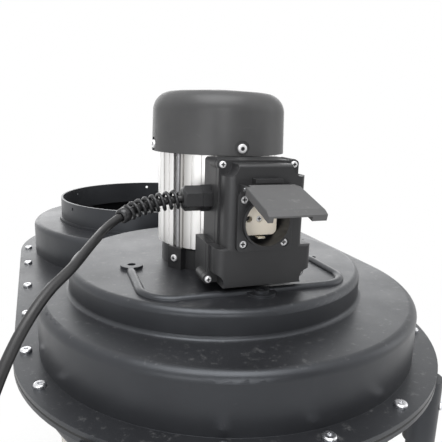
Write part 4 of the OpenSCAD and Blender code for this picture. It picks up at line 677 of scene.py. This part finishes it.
def islands(obj):
    """The loose parts of a mesh, each as its list of points in the world."""
    mesh = obj.data
    group = list(range(len(mesh.vertices)))

    def root(i):
        while group[i] != i:
            group[i] = group[group[i]]
            i = group[i]
        return i

    at = {}
    pairs = [tuple(e.vertices) for e in mesh.edges]
    pairs += [(at.setdefault(tuple(round(c / WELD) for c in v.co), v.index), v.index)
              for v in mesh.vertices]
    for one, other in pairs:
        a, b = root(one), root(other)
        if a != b:
            group[b] = a
    found = {}
    for v in mesh.vertices:
        found.setdefault(root(v.index), []).append(obj.matrix_world @ v.co)
    return list(found.values())


def cross_recess(a, r):
    """Radius of a four-armed recess at an angle."""
    arm = ARM_SHARE * r
    c, s = abs(math.cos(a)), abs(math.sin(a))
    return max(min(r, arm / max(s, TINY)), min(r, arm / max(c, TINY)))


def hex_recess(a, r):
    """Radius of a six-sided recess at an angle."""
    half = math.pi / 6
    return r * math.cos(half) / math.cos((a + half) % (2 * half) - half)


def screw_mesh(name, rows, head):
    """One mesh of screws. A row gives a head's top, outward way, length and shank radius."""
    verts, faces = [], []
    bend = BEND_SHARE * head.height
    for tip, out, length, shank_r in rows:
        u = out.cross(UP).normalized()
        v = u.cross(out)
        rings = [(-length, lambda a: shank_r), (-head.height, lambda a: shank_r),
                 (-head.height, lambda a: head.radius), (-bend, lambda a: head.radius)]
        for k in range(1, BEND_STEPS + 1):
            t = k * math.pi / 2 / BEND_STEPS
            r = head.radius - bend * (1 - math.cos(t))
            rings.append((-bend * (1 - math.sin(t)), lambda a, r=r: r))
        for deep, share in RECESS_STEPS:
            rings.append((-deep * head.depth,
                          lambda a, share=share: share * head.recess(a, head.recess_r)))
        first = len(verts)
        for along, r in rings:
            verts += [tip + along * out + r(a) * (math.cos(a) * u + math.sin(a) * v)
                      for a in angles(SCREW_SIDES)]
        last = first + (len(rings) - 1) * SCREW_SIDES
        for one in range(first, last, SCREW_SIDES):
            faces += strip(one, one + SCREW_SIDES, SCREW_SIDES)
        faces += [cap(first, SCREW_SIDES, True), cap(last, SCREW_SIDES)]
    made = mesh_object(name, verts, faces)
    sharpen(made, 38)
    wear(made, "screw", "machine")
    # The recess walls and floor take the dark recess metal: painted shade in the driver recess.
    made.data.materials.append(MATERIALS["recess"])
    per_screw = len(made.data.polygons) // len(rows)
    foot_cap, floor = per_screw - 2, per_screw - 1
    for face in made.data.polygons:
        k = face.index % per_screw
        if foot_cap - RECESS_FACES <= k < foot_cap or k == floor:
            face.material_index = 1
    return made


def make_screws(name, replaced, out_of, head):
    """Screws over those of a node, each turned outwards from the centre of its plain one."""
    rows = []
    for points in islands(nodes[replaced]):
        out = out_of(sum(points, Vector()) / len(points))
        u = out.cross(UP).normalized()
        v = u.cross(out)
        reach = [p.dot(out) for p in points]
        top, end = max(reach), min(reach)
        below = top - head.height - SHANK_GAP
        shank = [p for p in points if p.dot(out) < below] or points
        u0, v0 = ((min(p.dot(w) for p in points) + max(p.dot(w) for p in points)) / 2
                  for w in (u, v))
        shank_r = max((p - p.dot(out) * out - u0 * u - v0 * v).length for p in shank)
        rows.append((u0 * u + v0 * v + top * out, out, top - end, shank_r))
    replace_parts(screw_mesh(name, rows, head), replaced)


FORWARD = Vector((0, -1, 0))


def from_motor(centre):
    d = centre - FAN_AXIS
    return Vector((d.x, d.y, 0)).normalized()


def forward(centre):
    return FORWARD


SOCKET_HEAD = Head(3.3 * MM, 1.4 * MM, cross_recess, 2.0 * MM, 0.9 * MM)
BOX_HEAD = Head(2.9 * MM, 2.4 * MM, cross_recess, 1.7 * MM, 1.4 * MM)
COVER_HEAD = Head(4.3 * MM, 2.4 * MM, hex_recess, 2.0 * MM, 2.0 * MM)
EARTH_HEAD = Head(3.4 * MM, 1.9 * MM, cross_recess, 2.0 * MM, 1.0 * MM)
INSERT_HEAD = Head(2.55 * MM, 1.3 * MM, cross_recess, 1.6 * MM, 0.8 * MM)

make_screws("socket_heads", "socket_screws", forward, SOCKET_HEAD)
make_screws("box_heads", "box_cover_screws", forward, BOX_HEAD)
make_screws("cover_heads", "fan_cover_screws", from_motor, COVER_HEAD)


# The earth screw in the lug of the lower shield and the screw in the middle of the insert

LUG_A = math.radians(-147)
LUG_OUT = Vector((math.cos(LUG_A), math.sin(LUG_A), 0))
EARTH_OUT = 65.4 * MM
EARTH_Z = 778 * MM
EARTH_TIP = FAN_AXIS + LUG_OUT * EARTH_OUT + UP * EARTH_Z
EARTH_L = 7.5 * MM
EARTH_SHANK_R = 1.4 * MM
INSERT_TIP = Vector((-8.4, -278.0, 831)) * MM
INSERT_L = 1.45 * MM
INSERT_SHANK_R = 1.5 * MM

screw_mesh("earth_screw", [(EARTH_TIP, LUG_OUT, EARTH_L, EARTH_SHANK_R)], EARTH_HEAD)
screw_mesh("insert_screw", [(INSERT_TIP, FORWARD, INSERT_L, INSERT_SHANK_R)], INSERT_HEAD)


# Rounded bead over the square one on the disc

BEAD_HALF = 95.5 * MM
BEAD_FRONT = -114.5 * MM
BEAD_CORNER = 27.5 * MM
BEAD_BACK = -22 * MM
BEAD_W = 4.2 * MM
BEAD_H = 3.9 * MM
BEAD_SUNK = 0.4 * MM
BEAD_LEG_STEPS = 12
BEAD_CORNER_STEPS = 16
BEAD_ARC_STEPS = 12
TAPER_STEPS = 3
TAPER_H = 0.25
TAPER_W = 0.6


def bead_path():
    """From one boss forwards, round the two corners and back to the other boss."""
    leg = BEAD_BACK - BEAD_FRONT - BEAD_CORNER
    legs = [BEAD_BACK - k * leg / BEAD_LEG_STEPS for k in range(BEAD_LEG_STEPS)]
    flat = [(-BEAD_HALF, y) for y in legs]
    for side in (-1, 1):
        for k in range(BEAD_CORNER_STEPS + 1):
            a = math.pi / 2 * k / BEAD_CORNER_STEPS
            c, d = math.cos(a), math.sin(a)
            if side > 0:
                c, d = d, c
            flat.append((side * (BEAD_HALF - BEAD_CORNER + BEAD_CORNER * c),
                         BEAD_FRONT + BEAD_CORNER - BEAD_CORNER * d))
    flat += [(BEAD_HALF, y) for y in reversed(legs)]
    return [FAN_AXIS + Vector((x, y, DISC_Z)) for x, y in flat]


def make_bead():
    points = bead_path()
    section = [(BEAD_W * math.cos(math.pi * k / BEAD_ARC_STEPS),
                BEAD_H * math.sin(math.pi * k / BEAD_ARC_STEPS))
               for k in range(BEAD_ARC_STEPS + 1)]
    section += [(-BEAD_W, -BEAD_SUNK), (BEAD_W, -BEAD_SUNK)]
    n, last = len(section), len(points) - 1
    verts, faces = [], []
    for i, p in enumerate(points):
        along = (points[min(i + 1, last)] - points[max(i - 1, 0)]).normalized()
        side = Vector((along.y, -along.x, 0))
        high = min(1.0, TAPER_H + (1 - TAPER_H) * min(i, last - i) / TAPER_STEPS)
        wide = TAPER_W + (1 - TAPER_W) * high
        verts += [p + u * side * wide + UP * w * high for u, w in section]
    for i in range(last):
        faces += strip(i * n, (i + 1) * n, n)
    faces += [cap(0, n), cap(last * n, n, True)]
    bead = mesh_object("disc_bead", verts, faces)
    sharpen(bead, 50)
    wear(bead, "moulded", "machine")


make_bead()


# Chip bag: a soft cloth shell that hangs from the lower collar and stands on the base

BAG_C = Vector((-6, 185, 0)) * MM
BAG_RINGS = 288
BAG_WALL = 1.2 * MM
BAG_PROFILE_MM = ((584, 161.7), (583.2, 161.8), (579, 161.8), (575, 161.7), (570, 161.5),
                  (560, 161.5), (556, 161.8), (552, 162.0), (546, 162.2), (541, 162.6),
                  (536, 164.0), (528, 167.0), (518, 170.2), (505, 173.0), (485, 175.3),
                  (455, 176.6), (420, 177.2), (380, 177.6), (340, 177.8), (300, 178.0),
                  (260, 178.4), (220, 178.6), (190, 178.4), (165, 177.6), (145, 176.0),
                  (128, 173.0), (114, 168.0), (103, 161.0), (94, 152.0), (87, 141.0),
                  (83, 128.0), (81.4, 112.0), (81.1, 90.0), (81.1, 60.0), (81.1, 30.0),
                  (81.1, 4.0))
BAG_PROFILE = [(z * MM, r * MM) for z, r in BAG_PROFILE_MM]
STRAP_Z = 541 * MM
FOOT_Z = 83 * MM
FALL_TOP = 70 * MM
FALL_FOOT = 60 * MM
GATHER_Z, GATHER_REACH, GATHER_H = 505 * MM, 38 * MM, 1.5 * MM
CREASE_Z, CREASE_REACH, CREASE_H = 128 * MM, 34 * MM, 1.4 * MM
GATHER_WAVES = (46, 2, 3)
CREASE_WAVES = (38, 1.7, 5)
GATHER_IN = 0.4
SLACK_H = 2.2 * MM
SLACK_SHARE = 0.6
SLACK_IN = 1.6 * MM
SLACK_WAVES = ((1.0, 7, 9, 0), (0.6, 12, -21, 1.3), (0.5, 5, 34, 0))
UV_TURN = 0.17
UV_WRAP = 0.1
FLAT_NORMAL = 0.8
SEAMS = 4
SEAM_A0 = math.radians(25)
SEAM_ROWS = range(9, 27)
SEAM_OUT = 0.4 * MM
SEAM_R = 1.0 * MM
SEAM_SIDES = 8


def bell(z, middle, reach):
    return math.exp(-((z - middle) / reach) ** 2)


def ripple(a, count, sway, sways):
    """Gathers round the bag, drawn together and apart by a slower wave."""
    return math.sin(count * a + sway * math.sin(sways * a)) - GATHER_IN


def slack(a, z):
    """How far the cloth stands out from its turned form at an angle and a height."""
    if z >= STRAP_Z:
        return 0.0
    fall = min(1, (STRAP_Z - z) / FALL_TOP) * min(1, max(0, (z - FOOT_Z) / FALL_FOOT))
    folds = sum(high * math.sin(round_bag * a + up_bag * z + start)
                for high, round_bag, up_bag, start in SLACK_WAVES)
    return (GATHER_H * bell(z, GATHER_Z, GATHER_REACH) * ripple(a, *GATHER_WAVES)
            + CREASE_H * bell(z, CREASE_Z, CREASE_REACH) * ripple(a, *CREASE_WAVES)
            + SLACK_H * fall * folds * SLACK_SHARE - SLACK_IN * fall)


def map_bag(bag):
    """Cloth coordinates in metres: round the wall and up it, and flat over the foot."""
    layer = bag.data.uv_layers.new(name="UVMap")
    for poly in bag.data.polygons:
        for li in poly.loop_indices:
            v = bag.data.vertices[bag.data.loops[li].vertex_index].co - BAG_C
            a = math.atan2(v.y, v.x) % FULL_TURN
            if poly.center.y < BAG_C.y and a < UV_WRAP and poly.center.x > BAG_C.x:
                a += FULL_TURN
            flat = abs(poly.normal.z) > FLAT_NORMAL
            layer.data[li].uv = (v.x, v.y) if flat else (a * UV_TURN, v.z)


def make_bag():
    verts, faces = [], []
    for z, r in BAG_PROFILE:
        for a in angles(BAG_RINGS):
            out = r + slack(a, z)
            verts.append(BAG_C + Vector((out * math.cos(a), out * math.sin(a), z)))
    last = len(BAG_PROFILE) - 1
    for i in range(last):
        for k in range(BAG_RINGS):
            a, b = i * BAG_RINGS + k, i * BAG_RINGS + (k + 1) % BAG_RINGS
            faces.append((a, a + BAG_RINGS, b + BAG_RINGS, b))
    faces.append(cap(last * BAG_RINGS, BAG_RINGS))
    bag = mesh_object("bag_cloth", verts, faces)
    map_bag(bag)
    wall = bag.modifiers.new("wall", "SOLIDIFY")
    wall.thickness = BAG_WALL
    wall.offset = -1
    wear(bag, "bag", "machine")
    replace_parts(bag, "chip_bag")
    for k in range(SEAMS):
        share = (SEAM_A0 + FULL_TURN * k / SEAMS) / FULL_TURN
        column = int(round(share * BAG_RINGS)) % BAG_RINGS
        line = []
        for row in SEAM_ROWS:
            p = verts[row * BAG_RINGS + column]
            out = (p - Vector((BAG_C.x, BAG_C.y, p.z))).normalized()
            line.append(p + out * SEAM_OUT)
        seam = tube_mesh(f"bag_seam_{k}", line, [SEAM_R] * len(line),
                         [(p - BAG_C).normalized() for p in line], SEAM_SIDES)
        wear(seam, "bag", "machine")


make_bag()


# Floor, world and lamps

WHITE = (1, 1, 1, 1)
FLOOR_HALF = 40
FLOOR_Z = -0.0005
FLOOR_WHITE = (0.93, 0.93, 0.93, 1)
FADE_FROM, FADE_TO = 0.7, 1.6
FADE_LEAST = 0.72
WORLD_LIGHT = 0.42
CARD_GLOW = 0.2
CARD = [(-5, -5, 0.2), (3.5, -5, 0.2), (3.5, -5, 5), (-5, -5, 5)]


def stage_plane(name, corners):
    """A four-cornered plane with a material of its own, and that material's empty tree."""
    data = bpy.data.meshes.new(name)
    data.from_pydata(corners, [], [(0, 1, 2, 3)])
    plane = bpy.data.objects.new(name, data)
    scene.collection.objects.link(plane)
    mat = bpy.data.materials.new(name)
    data.materials.append(mat)
    return plane, Tree(mat, clear=True)


def seen_or_mirrored(tree):
    """One where the camera or a glossy surface looks, else zero, with all that a ray tells."""
    rays = tree.new("ShaderNodeLightPath").outputs
    return tree.math("MAXIMUM", rays["Is Camera Ray"], rays["Is Glossy Ray"]), rays


def make_floor():
    """A floor that takes shadows near the object and fades to plain white round it."""
    s = FLOOR_HALF
    floor, t = stage_plane("floor", [(-s, -s, 0), (s, -s, 0), (s, s, 0), (-s, s, 0)])
    floor.location.z = FLOOR_Z
    diffuse = t.new("ShaderNodeBsdfDiffuse", {"Color": FLOOR_WHITE})
    glow = t.new("ShaderNodeEmission", {"Color": WHITE})
    seen, _ = seen_or_mirrored(t)
    place = t.new("ShaderNodeNewGeometry").outputs["Position"]
    far = t.new("ShaderNodeVectorMath", {0: place}, operation="LENGTH").outputs["Value"]
    fade = t.ramp(far, FADE_FROM, FADE_TO, FADE_LEAST, 1.0, "LINEAR")
    mix = t.new("ShaderNodeMixShader", {0: t.math("MULTIPLY", seen, fade),
                                        1: diffuse.outputs[0], 2: glow.outputs[0]})
    t.new("ShaderNodeOutputMaterial", {"Surface": mix.outputs[0]})


def make_world():
    """Soft light for the object, pure white for what the camera sees directly or in gloss."""
    world = bpy.data.worlds.new("studio")
    scene.world = world
    t = Tree(world, clear=True)
    soft = t.new("ShaderNodeBackground", {"Color": WHITE, "Strength": WORLD_LIGHT})
    white = t.new("ShaderNodeBackground", {"Color": WHITE, "Strength": 1.0})
    seen, rays = seen_or_mirrored(t)
    mix = t.new("ShaderNodeMixShader", {0: t.math("MAXIMUM", seen, rays["Is Transmission Ray"]),
                                        1: soft.outputs[0], 2: white.outputs[0]})
    t.new("ShaderNodeOutputWorld", {"Surface": mix.outputs[0]})


def make_card():
    """A grey card in front, seen only in gloss, so that upright faces keep their depth."""
    card, t = stage_plane("flag", CARD)
    grey = t.new("ShaderNodeEmission", {"Strength": CARD_GLOW})
    t.new("ShaderNodeOutputMaterial", {"Surface": grey.outputs[0]})
    card.visible_camera = False
    card.visible_diffuse = False
    card.visible_shadow = False
    card.visible_transmission = False


Lamp = namedtuple("Lamp", "name where aim size power")
LAMPS = (
    Lamp("top", (-0.4, -0.9, 3.2), (0, 0, 0.7), (2.2, 2.2), 80),
    Lamp("front", (-0.5, -3.4, 1.5), (0, -0.2, 0.8), (1.0, 1.0), 26),
    Lamp("front_left", (-1.9, -2.6, 1.0), (0, -0.1, 0.8), (1.3, 1.3), 20),
    Lamp("right", (2.6, -0.6, 1.6), (0, 0, 0.8), (1.0, 1.8), 7),
    Lamp("back", (0.9, 4.6, 1.7), (0, 0, 0.75), (6.5, 2.4), 84),
)


def make_lamp(lamp):
    data = bpy.data.lights.new(lamp.name, "AREA")
    data.shape = "RECTANGLE"
    data.size, data.size_y = lamp.size
    data.energy = lamp.power
    obj = bpy.data.objects.new(lamp.name, data)
    scene.collection.objects.link(obj)
    obj.location = lamp.where
    obj.rotation_mode = "QUATERNION"
    obj.rotation_quaternion = (Vector(lamp.aim) - Vector(lamp.where)).to_track_quat("-Z", "Y")
    obj.visible_camera = False


make_floor()
make_world()
make_card()
for each in LAMPS:
    make_lamp(each)

scene.view_settings.view_transform = "Standard"
